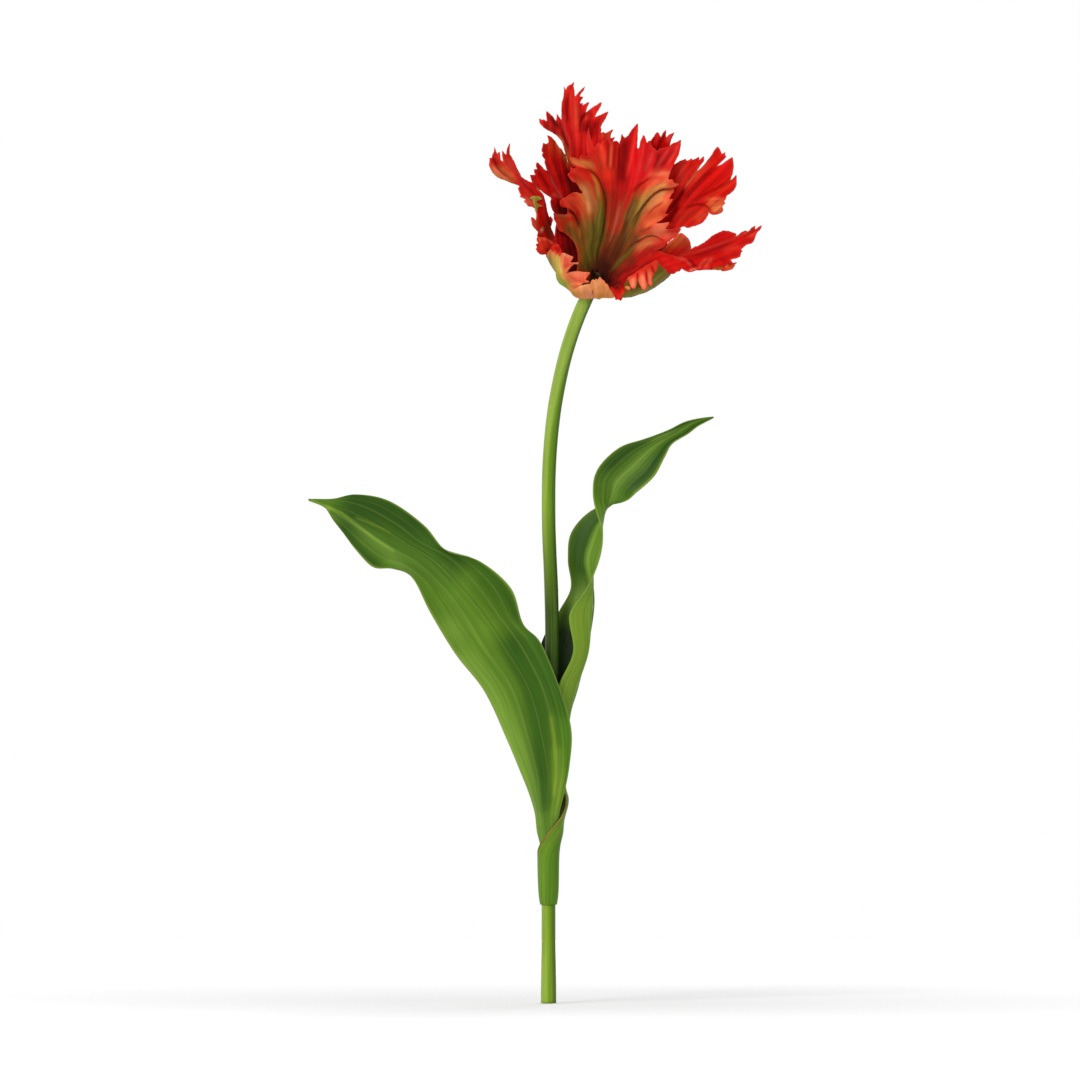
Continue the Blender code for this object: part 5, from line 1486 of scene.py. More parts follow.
RIGHT_UPPER_MIDRIB = [(6, 1), (34, 22), (56, 50), (72, 68), (90, 85)]
right_upper = petal_sheet(
    outline=[
        (6, 2.2), (16, 7), (28, 13), (34, 22), (40, 38), (44, 58), (49, 76), (53, 83), (55.9, 84),
        (58, 85), (60.2, 86.3), (63.4, 87.4), (64.5, 86.1), (66.1, 87), (67.4, 87.7), (68.1, 86.7),
        (70.1, 87.4), (72.3, 88.8), (72.6, 86.7), (74, 87.9), (75.5, 88.8), (75.8, 86.3),
        (74.2, 84), (71.9, 80.9), (70.6, 79.1), (73.3, 80.9), (76, 83.6), (78.2, 86.7), (81, 90.1),
        (82.8, 93.1), (84.8, 95.2), (86.4, 92.8), (87.5, 90.6), (88.6, 90.8), (89.7, 91.5),
        (89.7, 89.5), (90.4, 88.5), (88.2, 86.1), (84.6, 82.5), (87.7, 83.6), (90.9, 85.8),
        (94.5, 88), (94.9, 85.4), (95.2, 81.8), (94.8, 78.2), (93.8, 74.6), (93.1, 72.5),
        (94.9, 73.7), (97, 76), (97.2, 73.2), (97.1, 69.6), (95.8, 66.5), (93.6, 64.2),
        (90.9, 62.4), (90, 60.1), (88.9, 58.8), (89.7, 57), (87.7, 55.4), (88.4, 52.9),
        (87.7, 51.3), (85.5, 50.2), (81.9, 49.5), (79.6, 50.2), (78.7, 51.1), (78.2, 49.3),
        (76.4, 46.6), (75.1, 44.8), (72.8, 43.5), (70.1, 42.3), (67.4, 41.9), (65.6, 41),
        (63.8, 41.2), (61.6, 42.1), (59.8, 41.2), (55.2, 39.6), (51, 38), (52, 33), (48, 25),
        (42, 14), (28, 4), (14, -1), (6, -0.6),
    ],
    depths=[
        (20, 6, 12), (38, 20, 18), (50, 42, 19), (56, 74, 20), (64, 86, 18), (86, 92, 4),
        (96, 74, -6), (80, 60, 12), (82, 51, -2), (66, 43, 8), (6.2, 0.8, 3.4),
    ],
    creases=[
        (1.8, -1.2, 5, [(88.9, 60.6), (86.8, 59.2), (79.6, 59), (74.6, 57.9), (70, 57), (64, 55)]),
        (1.5, -1.5, 5,
         [(79.6, 52.9), (78, 54.8), (76, 56), (73.3, 56.8), (68.8, 56.5), (64.3, 55.4), (60, 54),
          (56, 51)]),
        (1.3, -1, 5, [(70.6, 79.1), (66, 73), (61, 65), (57, 56)]),
        (1.4, -1.1, 5, [(84.6, 82.5), (76, 76), (68, 68), (61, 58)]),
        (1.1, -1.4, 5, [(93.1, 72.5), (84, 68), (74, 63), (64, 57)]),
    ],
    strokes=[
        ((212, 56, 44), 7, [(62, 87), (61, 78), (58, 68)]),
        ((224, 66, 46), 5, [(80, 88), (74, 80), (68, 72)]),
        # Painted shade along the left lobe's fold.
        ((156, 4, 2), 2.6, [(70, 78.6), (65, 71), (60, 62), (56, 54)]),
        # Painted highlight on the rib beside that fold.
        ((230, 96, 70), 2.2, [(73, 82), (68, 75.4), (63, 68)]),
        ((232, 28, 28), 7, [(92, 84), (84, 78), (76, 70)]),
        # Painted shade along the middle lobe's fold.
        ((176, 4, 2), 2.6, [(84, 82), (76, 75.4), (68, 67), (61, 58)]),
        ((236, 60, 40), 4, [(95, 72), (86, 67), (78, 62)]),
        # Painted shade along the right lobe's fold.
        ((180, 6, 4), 2.4, [(93, 72), (84, 67.4), (74, 62.4), (64, 57)]),
        ((240, 120, 84), 2.4, [(89, 60.6), (84, 60), (78, 60)]),
        ((232, 148, 92), 5, [(80, 54), (84.4, 53.4), (88, 56)]),
        ((226, 120, 72), 3, [(79, 57.4), (84, 57), (88.6, 58)]),
        # Painted shade along the lower fold.
        ((130, 20, 8), 1.6,
         [(79.6, 52.4), (78, 54.6), (75.6, 56.2), (72, 56.6), (67, 55.6), (61, 53)], 0.8),
        ((192, 40, 22), 6, [(58, 47), (66, 49.4), (73, 52)]),
        ((228, 84, 52), 3.6, [(70, 46), (74, 49.4), (77, 51.6)]),
        # Painted shadow cast by the back centre petal on this petal's left side.
        ((150, 4, 2), 5, [(52, 42), (56, 50), (57, 60)], 0.8),
        # Dark foot: partly the petal's own dark red, partly painted shade of the throat.
        ((90, 14, 6), 18, [(4, -1), (18, 6), (32, 15)], 0.9),
    ],
    base=(218, 26, 20), midrib=RIGHT_UPPER_MIDRIB, seed=6.0, pleat=0.4,
)
round_lobe = petal_sheet(
    outline=[
        (46, 26.1), (50.7, 30.2), (55.2, 33.8), (59.8, 37.6), (62.9, 36), (65.2, 33.8),
        (66.3, 31.5), (66.7, 29.3), (66.9, 26.4), (66, 22.6), (62, 19.4), (58, 17.6), (52.5, 17),
        (46, 15), (41, 18),
    ],
    depths=[
        (48, 27, 9), (60, 37, 4), (66, 30, 0), (59, 22, 1), (50, 21, 8), (43, 18, 14),
        (57, 29, 2.5),
    ],
    creases=[(0.5, -0.5, 3, [(65, 26), (58, 26), (50, 24)])],
    strokes=[
        ((186, 92, 42), 6, [(52, 30), (58, 34), (63, 35)]),
        ((176, 12, 6), 6, [(48, 21), (56, 24), (66, 26.4)]),
        ((222, 104, 72), 1.6,
         [(47.6, 26.4), (51, 30), (55.4, 33.4), (59.8, 37), (63, 35.4), (65.6, 32)]),
    ],
    base=(168, 54, 22), midrib=RIGHT_UPPER_MIDRIB, seed=6.5, pleat=0.25, ruffle=0.3,
)
finish_petal("right_upper_petal", [right_upper, round_lobe], "petal_right_upper")

# ---------------------------------------------------------------------------
# Right lower petal: long and narrow, reaching out to the right and a little forwards, with a folded
# front lobe and a fringed underside. Its midrib is pressed in as a fine pale line.

RIGHT_LOWER_MIDRIB = [
    (6, -1), (34, 12), (62, 21), (73.3, 25), (80.5, 27.5), (89.1, 30.6), (94.9, 32.9), (101, 36.5),
    (113, 41),
]
right_lower = petal_sheet(
    outline=[
        (6.6, 0.6), (9, 2), (20, 7.6), (32, 15.4), (38, 21), (41.3, 23.4), (43, 24.4), (44.6, 25.6),
        (46, 25.7), (47.6, 25), (49, 23.8), (51, 23.4), (59.3, 21.2), (61.6, 22.5), (63.8, 23.6),
        (66.1, 25.2), (67.4, 27), (69.7, 28.4), (71, 28.4), (73.3, 29.7), (76.9, 32), (79.6, 34.2),
        (82.3, 36.3), (85, 37.6), (88.2, 39), (92.2, 38.5), (94.9, 37.6), (97.1, 36.7),
        (96.7, 34.9), (98.5, 36), (101.2, 38.3), (103.4, 38.8), (104.9, 38.1), (107.1, 40.3),
        (109.7, 42.1), (109.4, 40.6), (109.8, 39.4), (111.6, 40.8), (113.8, 42.1), (113, 39.7),
        (110.7, 37.2), (110, 35.6), (108.9, 32.4), (107.1, 30.2), (105.3, 29.5), (103.5, 29.3),
        (101.2, 27), (99.9, 25.7), (101, 25), (99.9, 23.4), (99.4, 21.2), (96.7, 20), (94, 19.6),
        (93.1, 18.9), (94, 18), (94.9, 16.9), (97.1, 17.3), (96.1, 16.2), (95.4, 14.4),
        (93.6, 12.6), (90.4, 11.7), (87.5, 11.5), (85.9, 12.4), (84.6, 12.1), (82.3, 12.6),
        (79.6, 12.4), (76, 12.4), (72.4, 12.1), (69.7, 12.1), (68.8, 11.5), (66.5, 10.9),
        (64.3, 11.2), (62.5, 12.1), (60.4, 13.5), (59.3, 11.7), (57, 11.2), (55.2, 9.9),
        (52.1, 9.9), (50.3, 9), (44, 8), (38, 5), (24, 0), (12, -3.4), (6.8, -2),
    ],
    depths=[
        (20, 3, -2), (44, 21, 0), (40, 7, -8), (66, 25, -2), (68, 12, -18), (88, 37, -2),
        (93, 14, -26), (113, 41, -16), (6.8, -0.8, 0),
    ],
    creases=[
        (2.2, -1.4, 5,
         [(68.3, 12.6), (67.9, 13.5), (66.1, 16.2), (63.4, 18.9), (59.8, 20.3), (56.2, 20.7),
          (50.7, 21)]),
        (0.9, -1.3, 5,
         [(101, 36.5), (94.9, 32.9), (89.1, 30.6), (80.5, 27.5), (73.3, 25), (62, 21)]),
        (1.3, -0.9, 3, [(73, 12.7), (74.2, 14.9), (77.8, 18.9), (80.3, 21.2)]),
        (1.1, -0.8, 3, [(79.6, 12.4), (81, 16), (84, 20)]),
        (1, -0.8, 3, [(99.9, 25.7), (94, 25), (86, 24), (78, 22)]),
        (1.2, -1, 4, [(60.4, 13.5), (57, 15.6), (52, 17.6), (46, 18)]),
    ],
    strokes=[
        ((226, 30, 26), 6, [(46, 22), (52, 17), (60, 14)]),
        ((200, 8, 6), 6, [(70, 29), (80, 32), (90, 37)]),
        ((236, 56, 42), 4, [(88, 25), (94, 27), (100, 28)]),
        # Painted shade just below the midrib fold.
        ((156, 0, 0), 3.4, [(64, 21), (75, 23.6), (86, 27.6), (96, 32)]),
        ((228, 84, 72), 1.3,
         [(66, 22.8), (73.3, 25.4), (80.5, 27.9), (89.1, 31), (94.9, 33.3), (101, 36.9)], 0.6),
        ((226, 70, 56), 4, [(101, 37), (107, 35.6), (111, 38)]),
        ((180, 10, 6), 2, [(100, 33), (105, 36), (111, 40)]),
        # Painted highlight along the front lobe's fold.
        ((232, 92, 84), 1.6, [(67.9, 13.5), (66.1, 16.2), (63.4, 18.9), (59.8, 20.3), (56.2, 20.7)],
         0.75),
        # Painted shade beside that fold.
        ((150, 2, 0), 2.4, [(69.6, 13.4), (68, 17), (65, 20)]),
        # Painted highlights along the fold ridges: this stroke and the next.
        ((232, 84, 70), 2, [(72, 13), (73.4, 16), (77, 20)], 0.8),
        ((228, 90, 74), 2.4, [(76, 13.4), (78, 17), (81, 20.4)], 0.8),
        ((126, 120, 34), 2.2, [(82, 12.8), (85, 12.8), (88, 13.2)]),
        ((204, 110, 42), 2.4, [(91, 12.6), (94, 13.8), (97, 16.6)]),
        ((236, 130, 96), 1.8, [(90, 13.4), (92, 16.6)]),
        ((180, 4, 2), 3, [(86, 20), (91, 17), (94, 15.4)]),
        ((244, 150, 130), 1, [(66, 12), (68.2, 12.8), (70, 13)]),
        ((150, 2, 0), 8, [(22, 6), (34, 13), (42, 18)], 0.8),
        # Dark foot: partly the petal's own dark red, partly painted shade of the throat.
        ((54, 4, 0), 14, [(4, -2), (14, 1), (22, 4)], 0.9),
    ],
    base=(210, 14, 12), midrib=RIGHT_LOWER_MIDRIB, seed=7.0, pleat=0.32,
)
finish_petal("right_lower_petal", [right_lower], "petal_right_lower")

# ---------------------------------------------------------------------------
# Back centre petal: the big painted one that faces the viewer. It is pressed into deep folds from
# rim to foot, and airbrushed olive, gold and apricot over red. Painted shade darkens its throat and
# its folds, and painted highlights run along some fold ridges.

BACK_CENTRE_FLOW = [
    (-1, [(-4, 8), (-12, 22), (-20, 36), (-24, 47)]),
    (-0.75, [(-2, 8), (-7, 25), (-11, 40), (-14, 50), (-20, 57)]),
    (-0.5, [(0, 8), (-1, 30), (-2, 48), (-5, 60), (-12, 70), (-15, 77)]),
    (-0.35, [(2, 10), (5, 35), (6, 55), (2, 70), (-6, 79), (-14, 84)]),
    (-0.15, [(4, 12), (9, 40), (11, 60), (8, 75), (1, 88), (-2, 106)]),
    (0.1, [(6, 12), (12, 35), (16, 55), (17, 75), (15, 97)]),
    (0.3, [(8, 12), (16, 36), (22, 58), (25, 80), (31, 110)]),
    (0.45, [(9, 12), (18, 34), (26, 56), (32, 75), (36, 102)]),
    (0.6, [(10, 12), (21, 34), (29, 52), (38, 68), (48, 82), (58, 98)]),
    (0.75, [(11, 11), (24, 32), (32, 48), (42, 60), (50, 66), (57, 70)]),
    (0.85, [(12, 10), (26, 29), (34, 42), (44, 50), (52, 58)]),
    (0.95, [(13, 9), (28, 26), (37, 36), (46, 40), (57, 39)]),
    (1.1, [(14, 7), (28, 20), (38, 29), (48, 30)]),
]
back_centre = petal_sheet(
    outline=[
        (-1.4, 2), (-5, 0.5), (-8.5, 4), (-9.5, 12), (-8.6, 19.1), (-8.7, 23.4), (-9.6, 27.7),
        (-11.7, 32), (-14.8, 35.4), (-18.2, 38), (-21.6, 39.7), (-23.3, 44.4), (-23.8, 45.3),
        (-24.6, 47.4), (-24.6, 50.9), (-21.2, 50.4), (-16.9, 50.2), (-15.5, 51.4), (-16, 54.5),
        (-18.6, 55), (-20.1, 55.8), (-20.8, 58.8), (-19.1, 60.7), (-16.1, 62.4), (-13.1, 64.5),
        (-10.1, 65.2), (-7.5, 64.5), (-5.6, 64.2), (-5.8, 65.8), (-7.5, 67.7), (-8.4, 69.7),
        (-10.1, 71.4), (-12.3, 72.3), (-14.4, 74.8), (-15.5, 77.2), (-13.8, 78.7), (-14, 81.7),
        (-11.6, 81.2), (-9.7, 81.3), (-11.4, 82.6), (-13.1, 84.7), (-14.2, 87.3), (-14.2, 89.9),
        (-12.7, 88.6), (-10.1, 88.4), (-8, 87.5), (-6.2, 90.5), (-4.1, 89.2), (-2.4, 90.1),
        (-3, 101), (-1.5, 108.2), (-0.5, 103), (1, 98), (2.5, 95), (4.8, 98.5), (6.5, 97.5),
        (8, 99.5), (9.5, 100.5), (11.5, 101.3), (13, 99), (15, 99.2), (17.5, 99.7), (19.3, 98),
        (20.7, 104.3), (21.7, 102.8), (22.8, 101.7), (25.2, 103.6), (27.3, 107), (31.2, 111.1),
        (31.6, 107.9), (31.4, 102.8), (31.1, 98.5), (31.2, 94.2), (32.3, 95.2), (33.3, 99.7),
        (35.3, 103.4), (36.6, 101.5), (37.4, 98.4), (38.9, 99.5), (40.2, 99), (40.9, 96.1),
        (44.7, 92.7), (45.8, 94.2), (48.4, 94.6), (50.1, 95), (52.5, 95.9), (55, 97.8),
        (57.4, 98.5), (60.2, 100.1), (60.2, 96.7), (59.8, 94.2), (58.9, 90.7), (57.4, 87.3),
        (55.9, 84.3), (53.7, 79.6), (52.9, 77.6), (51.8, 74.4), (52.5, 73.1), (53.5, 73.8),
        (55, 72.9), (55.9, 71), (59.1, 70.5), (57.6, 68.8), (55.2, 67.7), (55.7, 65.6),
        (54.2, 63.7), (52.7, 60.4), (55, 60.1), (52.7, 56.5), (50.5, 52.2), (49.7, 50.6),
        (51.6, 50.1), (49.2, 47.9), (46.7, 45.9), (43.7, 44), (45.4, 44.2), (49.2, 44.4),
        (52.5, 44.9), (51.4, 42.5), (50.1, 40.3), (53.1, 40.1), (60.2, 40.6), (59.3, 38.4),
        (57.4, 35.8), (54, 33.3), (51, 31.1), (50.1, 29.8), (48, 27.5), (44.5, 26.2), (42.4, 24.5),
        (40.2, 23.4), (38, 19.6), (34.6, 16.2), (31.6, 13.2), (28.5, 10.4), (25, 7.6), (20, 4),
        (12, 1), (5, 0.5), (1.4, 2.6),
    ],
    depths=[
        (0, 8, 12), (2, 30, 24), (4, 60, 28), (20, 95, 24), (31, 110, 20), (-25, 49, 14),
        (-12, 80, 21), (-9, 15, 10), (58, 98, 14), (52, 70, 12), (57, 37, 6), (42, 23, 7),
        (14, 12, 13), (0, 3.6, 6.6),
    ],
    creases=[
        (-1.2, 2, 7,
         [(-9.7, 81.3), (-3.2, 80.4), (-0.2, 79.6), (2.3, 77.4), (4.9, 74.4), (6.6, 70.5),
          (8.1, 65.4), (9.6, 59.8), (10, 52), (9.5, 45), (7.5, 38), (5, 31)]),
        (1.2, -0.8, 5, [(-4.7, 63.7), (-3, 60), (-2, 55), (-2, 48)]),
        (2.2, -2, 5, [(-16, 54.5), (-13.5, 53), (-11.3, 51.3), (-9.5, 47.5), (-8, 42), (-7, 34)]),
        (2.2, -1, 7,
         [(53.7, 79.6), (49.7, 79.3), (46.2, 78.9), (43.6, 78), (41.5, 77), (40.2, 75.3),
          (36.8, 72.7), (33.3, 70.5), (29.9, 68.8), (26.9, 65.8), (24.8, 62)]),
        (-1.2, 1.6, 6,
         [(55.2, 67.7), (52, 67), (49.2, 67), (46, 66.2), (42.6, 64), (39.5, 61), (36.5, 57.5),
          (33.8, 53.5), (31.5, 49), (29.5, 44), (27, 38)]),
        (1.2, -0.8, 5, [(43.7, 44), (41, 42.8), (38.5, 41.5), (36, 39.5), (33.5, 36.5)]),
        (2, -1.2, 7,
         [(50.1, 31), (47.1, 33.5), (43.6, 35.4), (40.2, 36.3), (36.8, 35.8), (33.3, 33.7),
          (29.9, 32), (26.9, 29.4), (24, 25.5), (20, 20)]),
        (0.8, -0.6, 6, [(48.4, 94.6), (47, 93), (47, 90), (45.5, 86), (43, 81), (40, 76.5)]),
        (1.6, -0.8, 5, [(19.5, 98), (19, 92), (18.8, 86), (18.8, 80), (19, 74)]),
        (0.8, -1.2, 6, [(31.2, 94.5), (31, 88), (30, 82), (28, 76)]),
        (0.5, 0.5, 1, [(24.8, 64), (22.5, 57), (20, 50), (17.5, 43), (15, 36), (11, 28)]),
    ],
    strokes=[
        ((120, 55, 18), 26, [(8, 10), (13, 26), (17, 42)]),
        ((150, 32, 18), 15, [(15, 70), (16, 58), (14, 42)], 0.8),
        ((96, 106, 30), 15, [(-4, 6), (-2, 24), (1, 40), (4, 54)]),
        ((215, 76, 46), 9, [(-18, 58), (-11, 59), (-5, 54)]),
        ((146, 124, 54), 6, [(-6, 48), (-5, 38), (-4, 26)], 0.8),
        ((206, 150, 88), 9, [(-9, 71), (-3, 65), (0, 57), (0, 49)]),
        ((150, 122, 62), 12, [(24, 44), (29, 52), (36, 60)]),
        ((188, 152, 74), 9, [(32, 56), (40, 63), (47, 68)]),
        ((232, 60, 40), 13, [(6, 94), (10, 83), (13, 72)]),
        ((246, 134, 98), 10, [(38, 73), (46, 76), (54, 73)]),
        ((242, 164, 104), 11, [(37, 53), (43, 60), (51, 64)]),
        ((240, 118, 68), 10, [(34, 42), (40, 45), (48, 51)]),
        ((246, 142, 108), 10, [(40, 38), (47, 41), (55, 39)]),
        ((128, 126, 48), 8, [(21, 28), (25, 41), (30, 53), (36, 61)], 0.8),
        ((124, 96, 34), 9, [(-18, 43), (-12, 38), (-7, 30)]),
        ((114, 72, 28), 8, [(20, 22), (27, 30), (33, 38)]),
        ((206, 128, 78), 5, [(29, 27), (36, 31), (43, 32)]),
        ((186, 14, 8), 6, [(29, 15), (36, 21), (45, 27)]), ((130, 46, 16), 4, [(24, 15), (30, 22)]),
        ((236, 22, 26), 13, [(36, 98), (34, 84), (29, 72)]),
        ((222, 20, 24), 12, [(57, 96), (51, 88), (45, 82)]),
        ((240, 18, 44), 17, [(26, 72), (34, 84), (42, 95)], 0.55),
        # Painted highlight on the upper left lobe.
        ((232, 92, 66), 3, [(-16.5, 60), (-12, 61.5), (-8, 60)], 0.8),
        ((198, 74, 36), 5, [(-22.5, 47.6), (-18, 46.4)]),
        ((176, 112, 60), 1.6, [(-24, 49.6), (-18, 49.2), (-13, 49.6)]),
        ((164, 98, 44), 4, [(-16, 44.6), (-12, 43)]),
        # Painted shade in the gap under the upper left lobe.
        ((86, 0, 0), 1.6, [(-15.5, 53.6), (-13, 52.2), (-10.6, 50), (-9, 46.5), (-7.6, 41)]),
        ((92, 96, 24), 6, [(8, 62), (7.4, 52), (6, 40), (3, 27), (1, 14)]),
        # Painted shade along the lower part of the long left fold.
        ((60, 66, 8), 2, [(8.4, 66), (9.2, 57), (9, 47), (7.4, 37), (5, 27), (3, 16)]),
        ((112, 122, 40), 1.6, [(4, 70), (6, 63), (6.4, 54), (5, 44), (2.5, 30)]),
        ((178, 142, 64), 2.4, [(1, 77), (4, 71), (5, 62)]),
        ((236, 180, 128), 1.6, [(-6, 70), (-3.4, 66), (-1.5, 60), (-0.8, 52)], 0.7),
        ((232, 60, 42), 3.6, [(-14, 79.6), (-9, 78), (-4, 76.4), (0, 74)]),
        ((212, 150, 80), 4, [(-13.4, 87.4), (-8, 85.4), (-2, 84.4), (2, 81)]),
        ((238, 136, 92), 2, [(-12, 85), (-7, 83.4), (-2, 82)]),
        # Painted shade along the long left fold.
        ((70, 60, 12), 1.3,
         [(-6, 80.9), (-0.2, 79.4), (2.5, 77.2), (5.1, 74.2), (6.8, 70.3), (8.3, 65.2), (9.8, 59.6),
          (10.2, 51)]),
        ((164, 50, 24), 3, [(11, 66), (11.6, 58), (11, 48)]),
        ((216, 108, 92), 1, [(19.8, 60), (19, 55), (17.6, 49), (15.4, 40), (12.6, 32)], 0.6),
        ((196, 98, 84), 0.9, [(24.6, 64.5), (22, 57), (19.4, 49.6), (17, 42)], 0.6),
        ((82, 42, 10), 5, [(13, 12), (18, 25), (22, 37), (25, 48), (27.4, 57), (30, 64)], 0.85),
        ((96, 36, 6), 4, [(6, 12), (9, 22), (11, 30)]),
        ((110, 102, 36), 2.6, [(27, 41), (30.6, 48), (34, 54.6), (38.4, 59.6)]),
        ((176, 156, 82), 2.6, [(31, 52), (35, 58), (41, 64)], 0.8),
        ((136, 112, 50), 2, [(24.6, 46), (27.6, 54), (31, 60)]),
        ((224, 178, 100), 2, [(42, 67), (47, 69.4), (51, 69.6)]),
        # Painted shade along a right-hand fold.
        ((92, 34, 10), 1.1,
         [(56, 67.6), (51, 67.1), (46.4, 66.6), (42.6, 64.4), (39.4, 61.4), (36.2, 57.9),
          (33.4, 53.9), (30.4, 49.4), (27.4, 44.6)]),
        ((244, 112, 82), 3, [(48, 60.5), (53.4, 63.4)]),
        ((240, 186, 128), 2, [(41, 60), (45, 63.4), (50, 65)], 0.8),
        ((190, 60, 34), 1.4, [(38, 50), (43, 55), (48.6, 58.4)]),
        ((232, 84, 60), 3, [(36, 70), (42, 74.4), (50, 75)]),
        # Painted highlight on the right upper lobe.
        ((246, 146, 108), 2, [(43, 76.6), (48, 77.6), (53, 77.6)], 0.7),
        # Painted shade along the fold under the right upper lobe.
        ((170, 8, 6), 2, [(27, 65), (31.4, 69), (37, 72.6), (41, 76)]),
        ((244, 138, 108), 2, [(42.6, 43.4), (47, 43.6), (52, 44.2)]),
        ((196, 20, 12), 3.4, [(50, 39), (55, 39.4), (59, 39.8)]),
        ((150, 70, 32), 2, [(32, 37.6), (37, 40), (41, 42)]),
        ((228, 172, 92), 1.6, [(32.6, 33.6), (36, 35.4), (40, 35.9), (43.4, 35)]),
        # Painted shade along the lowest right-hand fold.
        ((88, 22, 6), 1.3,
         [(47.6, 32.8), (43.8, 34.9), (40.2, 35.7), (36.8, 35.2), (33.3, 33), (29.9, 31.2),
          (26.6, 28.4), (23.4, 24)]),
        ((112, 106, 34), 3, [(15, 14), (20, 19.4), (25, 24), (29, 29)]),
        ((132, 134, 44), 1.2, [(14, 12.6), (19, 18.4), (24, 22.6)]),
        ((158, 6, 2), 5, [(22, 7), (27, 12), (32, 16)]),
        ((214, 30, 14), 2, [(31, 16.6), (36, 21), (42, 25)]),
        ((226, 40, 40), 7, [(-1.6, 104), (-1, 96), (2, 90)]),
        ((238, 74, 60), 2.6, [(6, 98.6), (7.6, 92), (9.6, 85)]),
        ((160, 44, 22), 1.6, [(11.6, 99), (11.4, 90), (11, 80)]),
        ((176, 60, 30), 1.6, [(3, 93), (6, 86), (8, 79)]),
        ((156, 40, 20), 1.6, [(16.6, 98), (15.6, 88), (14.6, 79)]),
        ((238, 108, 72), 1.6, [(14.2, 97.6), (13.4, 90), (13, 82)]),
        # Painted shade on the left of the tall tooth's fold.
        ((140, 0, 0), 7.5, [(22.4, 104), (22.4, 91), (21, 80), (19, 68)]),
        # Painted highlight on the tall tooth's right edge.
        ((238, 50, 46), 1.8, [(30.8, 108), (29, 98), (27, 87), (24.4, 76)]),
        # Painted shade along the tooth's left fold.
        ((120, 4, 0), 1.3, [(19.4, 97), (19, 92), (18.8, 86), (18.8, 78)]),
        # Painted highlights on the right top lobe's pleats with painted shade between them: these
        # six strokes.
        ((232, 58, 54), 1.8, [(35.6, 101), (35, 92), (32.6, 82), (30, 75)]),
        ((214, 76, 76), 1.8, [(42, 93.6), (39.6, 86), (36, 79)], 0.8),
        ((160, 4, 8), 3, [(45.6, 93), (45, 86), (42, 80.6)]),
        ((216, 78, 78), 1.6, [(52.4, 94.6), (48, 88), (44.4, 82.6)], 0.8),
        ((158, 6, 10), 2.6, [(56, 94), (51, 87), (46.6, 81)]),
        ((220, 72, 66), 1.8, [(59.4, 98.6), (56, 91), (51.6, 83)], 0.8),
        # The dark throat, in this stroke and the two darkest below, is partly the petal's own dark
        # base and partly painted shade.
        ((62, 24, 6), 20, [(1, 6), (7, 12), (13, 18)], 0.85),
        ((112, 116, 36), 1.6, [(13, 11.6), (18.4, 17.6), (24, 22.6)], 0.7),
        ((58, 22, 2), 16, [(0, 8), (7, 14), (14, 20)], 0.6),
        ((40, 5, 0), 21, [(-2, -3), (7, 3), (17, 6)], 0.97),
    ],
    base=(210, 18, 18), flow_lines=BACK_CENTRE_FLOW, pleat=0.32, seed=1.0, grid=0.72,
)
finish_petal("back_centre_petal", [back_centre], "petal_back_centre")

# ---------------------------------------------------------------------------
# Front petals: three short ones that open towards the viewer as a bowl and show their painted outer
# faces, olive and lime below, apricot and coral at the fringe. Each is glued on by a narrow claw.


CLAW_ROWS = 12
CLAW_WIDTH = 2.4
CLAW_COLOUR = (110, 120, 34)


def bowl_sheet(outline, contour, claw, roll=6.0, width=6.0, **looks):
    """A sheet whose lower contour rolls under and runs back to the claw: the sheet and the strip
    below it. The contour is part of the outline."""
    places, faces, tint, flow = petal_sheet(outline, **looks)
    spots = places[:, (0, 2)]
    gap = np.clip(to_path(spots, contour)[0] / width, 0.0, 1.0)
    places[:, 1] += roll * (1.0 - np.sqrt(1.0 - (1.0 - gap) ** 2))
    rim = fringed(outline, 0.85 * looks["grid"])
    rim = rim[: np.argmin(((rim - np.array(contour[-1])) ** 2).sum(axis=1)) + 1]
    seam = [np.argmin(((spots - spot) ** 2).sum(axis=1)) for spot in rim]
    claw = np.array(claw, float)
    strip, colours, flows = [], [], []
    for row in range(CLAW_ROWS + 1):
        t = row / CLAW_ROWS
        for k, near in enumerate(seam):
            start = places[near]
            share = k / (len(seam) - 1) - 0.5
            end = claw + np.array((share * CLAW_WIDTH, 0.0, 0.0))
            bow = np.array((0.0, 0.55 * (end[1] - start[1]), 0.0))
            middle = start + bow + (end - start) * np.array((0.1, 0.0, 0.1))
            strip.append(start * (1 - t) ** 2 + middle * 2 * t * (1 - t) + end * t * t)
            colours.append(tint[near] * (1 - t) + linear(CLAW_COLOUR) * t)
            flows.append(flow[near] * (1 - t))
    backwards = [face[::-1] for face in grid_faces(CLAW_ROWS, len(seam) - 1)]
    return ((places, faces, tint, flow),
            (np.array(strip), backwards, np.array(colours), np.array(flows)))


FRONT_LEFT_CLAW = (-3.0, -4.4, -3.8)
FRONT_CENTRE_CLAW = (-0.1, -3.4, -5.4)
FRONT_RIGHT_CLAW = (3.0, -4.4, -3.8)

